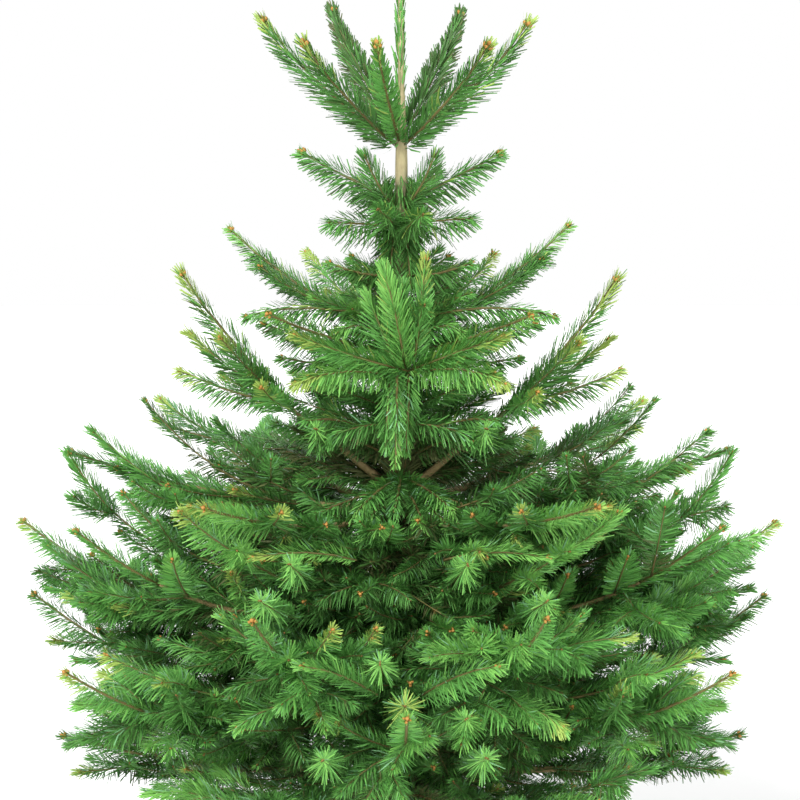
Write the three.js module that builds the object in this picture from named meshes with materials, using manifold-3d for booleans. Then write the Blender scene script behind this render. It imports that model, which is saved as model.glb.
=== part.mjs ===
// A cut fir, about 1.5 m tall, on a plain cross of two halved planks.
// Millimetres, +Z up. The origin is the middle of the stand's underside, and -Y is the tree's front.
import * as THREE from "three";
import { mergeVertices } from "three/addons/utils/BufferGeometryUtils.js";
import Module from "manifold-3d";

const wasm = await Module();
wasm.setup();

// ---------------------------------------------------------------- driving dimensions

const SEAT_GAP = 0.3; // air between two pieces that carry each other
const MASS_GAP = 1.5; // air between two masses that grow into each other's way

const PLANK = { length: 520, width: 74, height: 38, endChamfer: 12 };

const TRUNK = {
  foot: PLANK.height + SEAT_GAP,
  tip: 1490,
  sides: 11,
  sway: 3, // how far the stem wanders off its straight line
  // [height, radius]: a flared foot, a swelling at each whorl, a thin leader
  taper: [
    [PLANK.height + SEAT_GAP, 31],
    [80, 28.5],
    [232, 26],
    [362, 23.6],
    [492, 21.4],
    [640, 18.8],
    [760, 15.6],
    [886, 13.6],
    [1000, 11],
    [1112, 10],
    [1178, 9.4],
    [1250, 5.6],
    [1400, 3.8],
    [1490, 1.6],
  ],
};

const LEADER = { from: 1214, to: 1504, radius: 17 };

// One-year shoots that ring the stem, each a mass of its own.
// azimuth: degrees from +X towards +Y, given for the right one of a pair. lift: start above the whorl's height.
const TOP_SHOOTS = {
  prefix: "top_shoot",
  height: 1178,
  radius: 27,
  pairs: [
    { name: "outer", azimuth: 6, reach: 210, rise: 196, lift: 0, bend: 0.3 },
    { name: "inner", azimuth: -42, reach: 192, rise: 158, lift: -6, bend: 0.32 },
    { name: "back", azimuth: 58, reach: 204, rise: 226, lift: 4, bend: 0.36 },
  ],
  singles: [{ name: "front", azimuth: -101, reach: 176, rise: 144, lift: 2, bend: 0.32 }],
};

const STEM_SHOOTS = {
  prefix: "stem_shoot",
  height: 1108,
  radius: 24,
  pairs: [{ name: "high", azimuth: 14, reach: 162, rise: 56, lift: -4, bend: 0.3 }],
  singles: [],
};

// Needled sleeves round the stem between two whorls, each in one piece with its short sprays.
const COLLARS = [
  {
    name: "collar_upper",
    from: 1026,
    to: 1092,
    radius: 33,
    sprays: [
      { azimuth: -38, reach: 142, rise: -10, lift: -22, radius: 21 },
      { azimuth: 218, reach: 140, rise: -14, lift: -24, radius: 21 },
      { azimuth: -72, reach: 118, rise: 14, lift: -38, radius: 20 },
      { azimuth: -108, reach: 112, rise: 18, lift: -34, radius: 20 },
      { azimuth: 58, reach: 118, rise: 56, lift: -14, radius: 20 },
      { azimuth: 124, reach: 122, rise: 48, lift: -18, radius: 20 },
    ],
  },
  {
    name: "collar_lower",
    from: 742,
    to: 806,
    radius: 36,
    sprays: [
      { azimuth: -52, reach: 226, rise: 62, lift: -24, radius: 30 },
      { azimuth: 232, reach: 220, rise: 58, lift: -26, radius: 30 },
      { azimuth: -94, reach: 200, rise: 30, lift: -34, radius: 28 },
      { azimuth: 90, reach: 210, rise: 54, lift: -30, radius: 29 },
      { azimuth: 32, reach: 190, rise: 46, lift: -26, radius: 27 },
      { azimuth: 150, reach: 196, rise: 50, lift: -28, radius: 27 },
    ],
  },
];

// The whorls of boughs, from the top down. bare: how far out a limb carries no needles.
// spread: length of the longest side shoot, as a share of the reach. bend: height of the limb's middle
// as a share of its rise, under 0.5 where the tip turns up.
const WHORLS = [
  {
    number: 2,
    height: 886,
    halfWidth: 42,
    halfHeight: 38,
    pairs: [
      { name: "side", azimuth: 4, reach: 262, rise: 180, lift: 4, bend: 0.28, spread: 0.36 },
      { name: "front", azimuth: -50, reach: 296, rise: 70, lift: -16, bend: 0.3, spread: 0.32 },
      { name: "back", azimuth: 59, reach: 300, rise: 140, lift: 0, bend: 0.34, spread: 0.32 },
    ],
    singles: [{ name: "upright", azimuth: -84, reach: 118, rise: 150, lift: 10, bend: 0.2, spread: 0.4 }],
  },
  {
    number: 3,
    height: 640,
    halfWidth: 46,
    halfHeight: 48,
    pairs: [
      { name: "rising", azimuth: -22, reach: 354, rise: 334, lift: 18, bend: 0.28, spread: 0.34, bare: 120 },
      { name: "side", azimuth: 2, reach: 506, rise: 88, lift: 0, bend: 0.34, spread: 0.25, bare: 120 },
      { name: "front", azimuth: -57, reach: 492, rise: 64, lift: -12, bend: 0.32, spread: 0.28, bare: 120 },
      { name: "back", azimuth: 42, reach: 548, rise: 130, lift: 8, bend: 0.36, spread: 0.26, bare: 120 },
    ],
    singles: [],
  },
  {
    number: 4,
    height: 492,
    halfWidth: 50,
    halfHeight: 62,
    pairs: [
      { name: "side", azimuth: 9, reach: 602, rise: 122, lift: 0, bend: 0.34, spread: 0.22 },
      { name: "fore", azimuth: -27, reach: 520, rise: 136, lift: 14, bend: 0.34, spread: 0.22 },
      { name: "front", azimuth: -68, reach: 520, rise: 78, lift: -14, bend: 0.28, spread: 0.27, bare: 130 },
      { name: "back", azimuth: 64, reach: 548, rise: 112, lift: 10, bend: 0.32, spread: 0.29 },
    ],
    singles: [],
  },
  {
    number: 5,
    height: 362,
    halfWidth: 52,
    halfHeight: 66,
    pairs: [
      { name: "side", azimuth: 13, reach: 600, rise: 126, lift: 4, bend: 0.32, spread: 0.25 },
      { name: "fore", azimuth: -33, reach: 560, rise: 96, lift: -6, bend: 0.26, spread: 0.25 },
      { name: "back", azimuth: 59, reach: 540, rise: 98, lift: 2, bend: 0.28, spread: 0.29 },
    ],
    singles: [{ name: "front", azimuth: -89, reach: 530, rise: 72, lift: 0, bend: 0.24, spread: 0.29 }],
  },
  {
    number: 6,
    height: 240,
    halfWidth: 54,
    halfHeight: 60,
    pairs: [
      { name: "side", azimuth: -3, reach: 522, rise: 62, lift: 0, bend: 0.2, spread: 0.3 },
      { name: "front", azimuth: -57, reach: 500, rise: 60, lift: -6, bend: 0.18, spread: 0.3 },
    ],
    singles: [{ name: "back", azimuth: 90, reach: 520, rise: 60, lift: 4, bend: 0.2, spread: 0.42 }],
  },
];

// The side shoots of a bough, in pairs. first, last: shares of the needled length, with a later first one where the
// needles start at the stem. angle: degrees off the limb. narrowing: how fast the outline closes to the tip.
// climb: how far they follow the limb's slope. Each varied value is [its middle, how far it varies in all].
const SIDE = {
  spacing: 92,
  first: 0.12,
  firstFromStem: 0.34,
  last: 0.7,
  reach: [0.97, 0.26],
  angle: [47, 9],
  climb: 0.5,
  lift: [0.01, 0.2],
  narrowing: 0.72,
};

// The core of a mass, as shares of its whorl's half width and half height, from its start to its tip.
// sectors: corners round it, a multiple of four so that two of them lie in the plane of the shoots.
const CORE = {
  sectors: 8,
  startBehindLimb: 0.14,
  startAtStem: 0.1,
  swellBehindLimb: 0.5,
  swellAtStem: 0.34,
  atShoots: [0.98, 0.16],
  betweenShoots: [0.84, 0.16],
  full: 1.04,
  taper: 0.36,
  tipRing: { along: 0.94, size: 0.8 },
};

// The last year's growth beyond the side shoots: a single shoot, round in section.
const LEADING_SHOOT_RADIUS = 27;

// Outlines of the round pieces, as [share of the length, share of the radius] from end to end.
const OUTLINES = {
  // narrow where a shoot leaves the stem, full along its needles, closing at its buds
  shoot: [
    [0, 0],
    [0.06, 0.13],
    [0.24, 0.5],
    [0.5, 1],
    [0.84, 0.86],
    [1, 0],
  ],
  collar: [
    [0, 0],
    [0, 0.6],
    [0.5, 1],
    [1, 0.6],
    [1, 0],
  ],
  leader: [
    [0, 0],
    [0, 0.62],
    [0.2, 0.9],
    [0.6, 0.8],
    [0.93, 0.62],
    [1, 0],
  ],
};

// How much left and right limbs differ, as shares of their reach and rise, each [its middle, how far in all].
const VARIATION = { reach: [0.993, 0.015], rise: [0.99, 0.06], sway: [0, 0.06] };

const BOUGH = { rootRadius: 7.6, endRadius: 5.2, sides: 8 };

const COLOURS = {
  bark: 0x8a7a63,
  limb: 0xa8906a,
  deepGreen: 0x2f6b34,
  midGreen: 0x3f8441,
  brightGreen: 0x7da64a,
  pine: 0xc9a575,
};

// ---------------------------------------------------------------- small helpers

const UP = new THREE.Vector3(0, 0, 1);

// A repeatable random number from 0 to 1, one stream for each piece.
function randomStream(seed) {
  let state = seed * 7919 + 12345;
  return () => {
    state = (Math.imul(state, 1664525) + 1013904223) >>> 0;
    return state / 2 ** 32;
  };
}

// A value of the tables above, varied: [middle, how far it varies in all].
function varied([middle, spread], random) {
  return middle + spread * (random() - 0.5);
}

// Leaves only positions, joins shared corners and drops the flat triangles that a lathe leaves at its poles.
function weld(geometry) {
  geometry.deleteAttribute("uv");
  geometry.deleteAttribute("normal");
  const merged = mergeVertices(geometry, 1e-3);
  const kept = [];
  for (let i = 0; i < merged.index.count; i += 3) {
    const [a, b, c] = [0, 1, 2].map((k) => merged.index.getX(i + k));
    if (a !== b && b !== c && c !== a) kept.push(a, b, c);
  }
  merged.setIndex(kept);
  return merged;
}

function toSolid(geometry) {
  const welded = weld(geometry);
  return new wasm.Manifold(
    new wasm.Mesh({
      numProp: 3,
      vertProperties: new Float32Array(welded.attributes.position.array),
      triVerts: new Uint32Array(welded.index.array),
    }),
  );
}

function toGeometry(solid) {
  const mesh = solid.getMesh();
  const geometry = new THREE.BufferGeometry();
  geometry.setAttribute("position", new THREE.BufferAttribute(mesh.vertProperties, mesh.numProp));
  geometry.setIndex(new THREE.BufferAttribute(mesh.triVerts, 1));
  return geometry;
}

function joined(solids) {
  return solids.reduce((whole, next) => whole.add(next));
}

// A round body drawn along a curve. profile: [share of the curve, radius] from end to end; the section is an
// oval of width x height times that radius, with slow bumps of the given depth so that no two are alike.
function bodyAlong(curve, profile, { sides, width = 1, height = 1, bumps = 0, phase = 0 }) {
  const outline = profile.map(([along, radius]) => new THREE.Vector2(radius, along));
  const geometry = new THREE.LatheGeometry(outline, sides);
  const position = geometry.attributes.position;
  const point = new THREE.Vector3();
  for (let i = 0; i < position.count; i++) {
    point.fromBufferAttribute(position, i);
    const along = point.y;
    const radius = Math.hypot(point.x, point.z);
    const angle = Math.atan2(point.x, point.z);
    const uneven = 1 + bumps * Math.sin(2 * angle + 9 * along + phase) * Math.sin(5 * along + angle + 2 * phase);
    const centre = curve.getPoint(along);
    const tangent = curve.getTangent(along);
    const steep = Math.abs(tangent.z) > 0.98;
    const across = steep ? new THREE.Vector3(1, 0, 0) : new THREE.Vector3().crossVectors(tangent, UP).normalize();
    const over = new THREE.Vector3().crossVectors(across, tangent).normalize();
    centre.addScaledVector(across, radius * width * uneven * Math.sin(angle));
    centre.addScaledVector(over, radius * height * uneven * Math.cos(angle));
    position.setXYZ(i, centre.x, centre.y, centre.z);
  }
  return toSolid(geometry);
}

// The horizontal direction of an azimuth.
function outward(azimuth) {
  const angle = THREE.MathUtils.degToRad(azimuth);
  return new THREE.Vector3(Math.cos(angle), Math.sin(angle), 0);
}

// The centre line of a limb, from the stem's middle to the tip of its last shoot.
function limbLine({ azimuth, reach, rise, lift, bend = 0.5, sway = 0 }, height) {
  const direction = outward(azimuth);
  const start = new THREE.Vector3(0, 0, height + lift);
  const tip = start.clone().addScaledVector(direction, reach).addScaledVector(UP, rise);
  const middle = start.clone().addScaledVector(direction, reach / 2).addScaledVector(UP, rise * bend);
  middle.addScaledVector(outward(azimuth + 90), sway);
  return new THREE.QuadraticBezierCurve3(start, middle, tip);
}

// The part of a line from one share of it to another, as a line of its own.
function stretch(line, from, to) {
  const start = line.getPoint(from);
  const tip = line.getPoint(to);
  const slope = line.v1.clone().lerp(line.v2, from).sub(line.v0.clone().lerp(line.v1, from));
  const middle = start.clone().addScaledVector(slope, to - from);
  return new THREE.QuadraticBezierCurve3(start, middle, tip);
}

// Both limbs of each pair, then the single ones, with small honest differences between left and right.
function limbsOf(group) {
  const limbs = [];
  group.pairs.forEach((pair, order) => {
    for (const [side, sign] of [["right", 1], ["left", -1]]) {
      const random = randomStream(group.height + 17 * order + (sign > 0 ? 3 : 8));
      limbs.push({
        ...pair,
        name: pair.name + "_" + side,
        azimuth: sign > 0 ? pair.azimuth : 180 - pair.azimuth,
        reach: pair.reach * varied(VARIATION.reach, random),
        rise: pair.rise * varied(VARIATION.rise, random),
        sway: pair.reach * varied(VARIATION.sway, random),
        random,
      });
    }
  });
  group.singles.forEach((single, order) => {
    const random = randomStream(group.height + 29 * order + 5);
    limbs.push({ ...single, sway: single.reach * varied(VARIATION.sway, random), random });
  });
  return limbs;
}

// ---------------------------------------------------------------- the pieces

const trunkLine = new THREE.CatmullRomCurve3(
  [0, 0.25, 0.5, 0.75, 1].map((share, i) => {
    const lean = TRUNK.sway * Math.sin(2.4 * i + 0.6) * Math.sin(Math.PI * share);
    return new THREE.Vector3(lean, -0.6 * lean, THREE.MathUtils.lerp(TRUNK.foot, TRUNK.tip, share));
  }),
);

function trunkSolid(clearance) {
  const length = TRUNK.tip - TRUNK.foot;
  const wall = TRUNK.taper.map(([height, radius]) => [(height - TRUNK.foot) / length, radius + clearance]);
  const profile = [[0, 0], ...wall, [1, 0]];
  return bodyAlong(trunkLine, profile, { sides: TRUNK.sides });
}

// An outline of the table above at the piece's own radius.
function profileOf(outline, radius) {
  return outline.map(([along, share]) => [along, share * radius]);
}

function verticalLine(from, to) {
  return new THREE.LineCurve3(new THREE.Vector3(0, 0, from), new THREE.Vector3(0, 0, to));
}

function shootSolid(limb, height, radius) {
  const profile = profileOf(OUTLINES.shoot, radius);
  return bodyAlong(limbLine(limb, height), profile, { sides: 6, bumps: 0.14, phase: limb.azimuth });
}

function collarSolid(collar) {
  const profile = profileOf(OUTLINES.collar, collar.radius);
  const sleeve = bodyAlong(verticalLine(collar.from, collar.to), profile, { sides: 7, bumps: 0.1, phase: 2 });
  const sprays = collar.sprays.map((spray) => shootSolid(spray, collar.to, spray.radius));
  return joined([sleeve, ...sprays]);
}

function leaderSolid() {
  const profile = profileOf(OUTLINES.leader, LEADER.radius);
  return bodyAlong(verticalLine(LEADER.from, LEADER.to), profile, { sides: 8, bumps: 0.12, phase: 1 });
}

function boughSolid(limb, whorl, bareShare) {
  const line = stretch(limbLine(limb, whorl.height), 0, bareShare);
  const profile = [
    [0, 0],
    [0, BOUGH.rootRadius],
    [0.45, (BOUGH.rootRadius + BOUGH.endRadius) / 2],
    [1, BOUGH.endRadius],
    [1, 0],
  ];
  return bodyAlong(line, profile, { sides: BOUGH.sides });
}

// The pairs of side shoots along a mass: where each leaves the limb, as a share of the needled length, and how
// long it is. The outline narrows towards the tip, as each year's shoots are shorter than the last.
function sideShootsOf(limb, length, first) {
  const count = Math.max(2, Math.round((length * (SIDE.last - first)) / SIDE.spacing) + 1);
  return Array.from({ length: count }, (_, order) => {
    const share = THREE.MathUtils.lerp(first, SIDE.last, order / (count - 1));
    return { share, reach: limb.reach * limb.spread * (1.05 - share) ** SIDE.narrowing };
  });
}

// A bough's foliage is one serrated body along the limb: rings at the side shoots are drawn out into forward
// pointing lobes on both sides, and rings between them stay at the core, so the notches are real.
function massSolid(limb, whorl, from) {
  const line = stretch(limbLine(limb, whorl.height), from, 1);
  const random = randomStream(Math.round(limb.reach * 31 + limb.azimuth * 7 + whorl.height));
  const first = from > 0 ? SIDE.first : SIDE.firstFromStem;
  const shoots = sideShootsOf(limb, line.getLength(), first);
  const step = shoots[1].share - shoots[0].share;
  const rings = [
    { along: 0, size: 0 },
    { along: 0, size: from > 0 ? CORE.startBehindLimb : CORE.startAtStem },
    { along: first / 2, size: from > 0 ? CORE.swellBehindLimb : CORE.swellAtStem },
  ];
  for (const { share, reach } of shoots) {
    const lobes = [1, -1].map((sign) => {
      const along = line.getTangent(share);
      const heading = THREE.MathUtils.radToDeg(Math.atan2(along.y, along.x));
      const length = reach * varied(SIDE.reach, random);
      const way = outward(heading - sign * varied(SIDE.angle, random)).multiplyScalar(length);
      return way.addScaledVector(UP, length * (SIDE.climb * along.z + varied(SIDE.lift, random)));
    });
    const size = varied(CORE.atShoots, random) * (CORE.full - CORE.taper * share);
    rings.push({ along: share, size, lobes });
    rings.push({ along: share + step / 2, size: size * varied(CORE.betweenShoots, random) });
  }
  const shoot = LEADING_SHOOT_RADIUS / whorl.halfWidth;
  rings.push({ along: CORE.tipRing.along, size: shoot * CORE.tipRing.size });
  rings.push({ along: 1, size: 0 });

  const outline = rings.map(({ along, size }) => new THREE.Vector2(size, along));
  const geometry = new THREE.LatheGeometry(outline, CORE.sectors);
  const position = geometry.attributes.position;
  for (let i = 0; i < position.count; i++) {
    const { along, size, lobes } = rings[i % rings.length];
    const angle = (2 * Math.PI * Math.floor(i / rings.length)) / CORE.sectors;
    const sideways = Math.abs(Math.sin(angle)) < 1e-6 ? 0 : Math.sin(angle);
    const tangent = line.getTangent(along);
    const across = new THREE.Vector3().crossVectors(tangent, UP).normalize();
    const over = new THREE.Vector3().crossVectors(across, tangent).normalize();
    const point = line.getPoint(along);
    point.addScaledVector(across, sideways * size * whorl.halfWidth);
    point.addScaledVector(over, Math.cos(angle) * size * whorl.halfHeight);
    if (lobes && sideways !== 0) point.addScaledVector(lobes[sideways > 0 ? 0 : 1], sideways ** 2);
    position.setXYZ(i, point.x, point.y, point.z);
  }
  return toSolid(geometry);
}

// One beam of the stand, halved from above or from below at its middle. turn: its angle from X, in radians.
function plankSolid(halvedFrom, turn) {
  const half = PLANK.length / 2;
  const notch = PLANK.width / 2 + SEAT_GAP;
  const depth = PLANK.height / 2 + SEAT_GAP / 2;
  const top = PLANK.height;
  const cut = PLANK.endChamfer;
  const outline = new THREE.Shape();
  outline.moveTo(-half, 0);
  if (halvedFrom === "below") {
    outline.lineTo(-notch, 0);
    outline.lineTo(-notch, depth);
    outline.lineTo(notch, depth);
    outline.lineTo(notch, 0);
  }
  outline.lineTo(half, 0);
  outline.lineTo(half, top - cut);
  outline.lineTo(half - cut, top);
  if (halvedFrom === "above") {
    outline.lineTo(notch, top);
    outline.lineTo(notch, top - depth);
    outline.lineTo(-notch, top - depth);
    outline.lineTo(-notch, top);
  }
  outline.lineTo(-half + cut, top);
  outline.lineTo(-half, top - cut);
  const geometry = new THREE.ExtrudeGeometry(outline, { depth: PLANK.width, bevelEnabled: false });
  geometry.translate(0, 0, -PLANK.width / 2);
  geometry.rotateX(Math.PI / 2);
  geometry.rotateZ(turn);
  return toSolid(geometry);
}

// ---------------------------------------------------------------- assembly

const tree = new THREE.Group();
const placed = [];

function finish(colour, roughness) {
  return new THREE.MeshStandardMaterial({ color: colour, roughness, metalness: 0 });
}

function place(name, solid, material) {
  const mesh = new THREE.Mesh(toGeometry(solid), material);
  mesh.name = name;
  tree.add(mesh);
}

const trunkRoom = trunkSolid(SEAT_GAP);

// The solid made wider all round by the gap between masses.
function widened(solid) {
  const shifts = [-MASS_GAP, MASS_GAP].flatMap((gap) => [[gap, 0, 0], [0, gap, 0], [0, 0, gap]]);
  return joined([solid, ...shifts.map((shift) => toSolid(toGeometry(solid).translate(...shift)))]);
}

// A mass is cut round the trunk, and round the masses before it that it would grow into. A cut can leave loose
// crumbs, which are dropped.
function cutRound(solid) {
  let rest = solid.subtract(trunkRoom);
  for (const other of placed) {
    if (rest.intersect(other).volume() > 0) rest = rest.subtract(widened(other));
  }
  const main = rest.decompose().reduce((a, b) => (b.volume() > a.volume() ? b : a));
  placed.push(main);
  return main;
}

place("trunk", trunkSolid(0), finish(COLOURS.bark, 0.9));

place("leader_needles", leaderSolid().subtract(trunkRoom), finish(COLOURS.brightGreen, 0.6));

for (const group of [TOP_SHOOTS, STEM_SHOOTS]) {
  for (const limb of limbsOf(group)) {
    const solid = cutRound(shootSolid(limb, group.height, group.radius));
    place(group.prefix + "_" + limb.name, solid, finish(COLOURS.brightGreen, 0.6));
  }
}

for (const collar of COLLARS) {
  const solid = cutRound(collarSolid(collar));
  place(collar.name, solid, finish(COLOURS.midGreen, 0.6));
}

for (const whorl of WHORLS) {
  for (const limb of limbsOf(whorl)) {
    const length = limbLine(limb, whorl.height).getLength();
    const label = whorl.number + "_" + limb.name;
    let from = 0;
    if (limb.bare) {
      const bough = boughSolid(limb, whorl, limb.bare / length).subtract(trunkRoom);
      place("bough_" + label, bough, finish(COLOURS.limb, 0.85));
      placed.push(bough);
      from = (limb.bare + SEAT_GAP) / length;
    }
    const green = whorl.number < 4 ? COLOURS.midGreen : COLOURS.deepGreen;
    place("mass_" + label, cutRound(massSolid(limb, whorl, from)), finish(green, 0.6));
  }
}

place("plank_lower", plankSolid("above", 0), finish(COLOURS.pine, 0.7));
place("plank_upper", plankSolid("below", Math.PI / 2), finish(COLOURS.pine, 0.7));

export default tree;
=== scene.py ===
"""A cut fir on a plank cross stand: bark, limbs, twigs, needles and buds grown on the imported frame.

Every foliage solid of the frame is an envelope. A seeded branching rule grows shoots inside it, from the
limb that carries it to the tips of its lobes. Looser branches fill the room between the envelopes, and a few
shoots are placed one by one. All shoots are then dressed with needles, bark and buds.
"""

import logging
import math
from dataclasses import dataclass, field, replace
from enum import Enum
from typing import Callable, Iterable, Iterator, Sequence

import bmesh
import bpy
import numpy as np
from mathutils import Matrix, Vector
from mathutils.bvhtree import BVHTree


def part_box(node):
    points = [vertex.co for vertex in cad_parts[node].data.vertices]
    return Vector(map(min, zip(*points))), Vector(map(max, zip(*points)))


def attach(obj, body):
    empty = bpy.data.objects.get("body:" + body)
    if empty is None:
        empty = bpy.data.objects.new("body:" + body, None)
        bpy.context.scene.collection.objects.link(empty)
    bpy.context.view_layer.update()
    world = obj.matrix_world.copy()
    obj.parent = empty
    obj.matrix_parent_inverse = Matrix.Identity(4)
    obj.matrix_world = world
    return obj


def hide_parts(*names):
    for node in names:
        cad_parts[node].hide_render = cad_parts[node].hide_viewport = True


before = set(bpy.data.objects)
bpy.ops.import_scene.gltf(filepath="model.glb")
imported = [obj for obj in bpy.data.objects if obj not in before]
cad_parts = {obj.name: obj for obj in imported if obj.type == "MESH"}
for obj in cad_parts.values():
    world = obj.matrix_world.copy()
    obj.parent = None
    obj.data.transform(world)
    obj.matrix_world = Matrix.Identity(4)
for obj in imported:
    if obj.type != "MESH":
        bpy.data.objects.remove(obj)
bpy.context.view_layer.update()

log = logging.getLogger("fir")

UP = np.array([0.0, 0.0, 1.0])
ACROSS = np.array([1.0, 0.0, 0.0])
MM = 0.001
JOIN = 1e-5  # corners closer than this, in metres, are one
GOLDEN_TURN = 137.5  # degrees between neighbours that spread evenly round a stem
TIP_ROOM = 0.4  # how far wood ends short of its envelope's tip, as a share of a needle


# ---------------------------------------------------------------- shader writing


class Signal:
    """A shader socket or plain number that arithmetic can be written on."""

    def __init__(self, book: "NodeBook", source: "bpy.types.NodeSocket | float") -> None:
        """Keeps the socket and the book that owns its nodes."""
        self.book = book
        self.source = source

    def _math(self, operation: str, *others: "Signal | float", clamp: bool = False) -> "Signal":
        """Adds one Math node over this signal and the others.

        Args:
            operation: the Math node's operation.
            others: the other operands.
            clamp: whether the result is held between 0 and 1.

        Returns:
            The node's result.
        """
        settings = {"operation": operation, "use_clamp": clamp}
        return self.book.add("ShaderNodeMath", settings, dict(enumerate((self, *others))))

    def __add__(self, other: "Signal | float") -> "Signal":
        """Sum."""
        return self._math("ADD", other)

    def __sub__(self, other: "Signal | float") -> "Signal":
        """Difference."""
        return self._math("SUBTRACT", other)

    def __mul__(self, other: "Signal | float") -> "Signal":
        """Product."""
        return self._math("MULTIPLY", other)

    def __rsub__(self, other: float) -> "Signal":
        """Difference from a number."""
        return Signal(self.book, other)._math("SUBTRACT", self)

    __radd__ = __add__
    __rmul__ = __mul__

    def clamped(self) -> "Signal":
        """This signal held between 0 and 1."""
        return self._math("ADD", 0.0, clamp=True)


class NodeBook:
    """The node tree of one material, written one node at a time."""

    def __init__(self, name: str) -> None:
        """Makes a material whose only nodes are its output and a Principled shader.

        Args:
            name: the material's name.
        """
        self.material = bpy.data.materials.new(name)
        self.material.use_nodes = True
        self.tree = self.material.node_tree
        self.shader = self.tree.nodes["Principled BSDF"]

    def add(
        self, kind: str, settings: dict | None = None, inputs: dict | None = None, output: int = 0
    ) -> Signal:
        """Adds a node, sets it up and feeds its sockets.

        Args:
            kind: the node's type.
            settings: attributes of the node, set first.
            inputs: socket name or index to a value or a Signal.
            output: which of the node's outputs is wanted.

        Returns:
            That output as a Signal.
        """
        node = self.tree.nodes.new(kind)
        for key, value in (settings or {}).items():
            if key == "stops":
                self._set_stops(node.color_ramp, value)
            else:
                setattr(node, key, value)
        for key, value in (inputs or {}).items():
            self.feed(node.inputs[key], value)
        return Signal(self, node.outputs[output])

    def _set_stops(self, ramp: bpy.types.ColorRamp, stops: Sequence[tuple[float, tuple]]) -> None:
        """Gives a colour ramp its stops.

        Args:
            ramp: the ramp of a Color Ramp node.
            stops: positions with their colours.
        """
        while len(ramp.elements) < len(stops):
            ramp.elements.new(0.5)
        for element, (position, colour) in zip(ramp.elements, stops):
            element.position = position
            element.color = (*colour, 1.0)

    def feed(self, socket: bpy.types.NodeSocket, value: object) -> None:
        """Links a signal into a socket, or writes a plain value there.

        Args:
            socket: the input to feed.
            value: a Signal, a number, or a colour or vector.
        """
        if isinstance(value, Signal) and not isinstance(value.source, (int, float)):
            self.tree.links.new(value.source, socket)
            return
        plain = value.source if isinstance(value, Signal) else value
        if socket.type == "RGBA" and len(plain) == 3:
            plain = (*plain, 1.0)
        socket.default_value = plain

    def place(self, stretch: Sequence[float] = (1, 1, 1)) -> Signal:
        """Object coordinates, stretched for a pattern.

        Args:
            stretch: scale along each axis.

        Returns:
            The vector signal.
        """
        where = self.add("ShaderNodeTexCoord", output=3)
        return self.add("ShaderNodeMapping", {}, {"Vector": where, "Scale": stretch})

    def noise(self, where: Signal, scale: float, detail: float = 3.0, roughness: float = 0.55) -> Signal:
        """Noise between about 0 and 1 at a place.

        Args:
            where: the vector to read at.
            scale: cells for each metre.
            detail: octaves.
            roughness: strength of the finer octaves.

        Returns:
            The noise factor.
        """
        inputs = {"Vector": where, "Scale": scale, "Detail": detail, "Roughness": roughness}
        return self.add("ShaderNodeTexNoise", {}, inputs)

    def ramp(self, factor: Signal, *stops: tuple[float, tuple]) -> Signal:
        """A colour ramp over a factor.

        Args:
            factor: the position along the ramp.
            stops: positions with their colours.

        Returns:
            The colour signal.
        """
        return self.add("ShaderNodeValToRGB", {"stops": stops}, {"Fac": factor})

    def mix(self, factor: "Signal | float", first: object, second: object, blend: str = "MIX") -> Signal:
        """Mixes two colours.

        Args:
            factor: how much of the second.
            first: colour or signal.
            second: colour or signal.
            blend: the Mix node's blend type.

        Returns:
            The mixed colour.
        """
        settings = {"data_type": "RGBA", "blend_type": blend}
        return self.add("ShaderNodeMix", settings, {0: factor, 6: first, 7: second}, output=2)

    def bump(self, height: Signal, distance: float) -> Signal:
        """A bump normal from a height.

        Args:
            height: the height signal.
            distance: metres for a height of 1.

        Returns:
            The normal signal.
        """
        return self.add("ShaderNodeBump", {}, {"Strength": 1.0, "Distance": distance, "Height": height})

    def set(self, **sockets: object) -> bpy.types.Material:
        """Feeds the Principled shader, with underscores for the spaces in a socket's name.

        Args:
            sockets: socket names to values or signals.

        Returns:
            The finished material.
        """
        for key, value in sockets.items():
            self.feed(self.shader.inputs[key.replace("_", " ")], value)
        return self.material


# ---------------------------------------------------------------- finishes


@dataclass(frozen=True)
class PlainFinish:
    """One even colour with a waxy gloss, for needles and buds."""

    name: str
    colour: tuple[float, float, float]
    roughness: float = 0.42
    specular: float = 0.22

    def make(self) -> bpy.types.Material:
        """The material."""
        book = NodeBook(self.name)
        return book.set(Base_Color=self.colour, Roughness=self.roughness, Specular_IOR_Level=self.specular)


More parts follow.
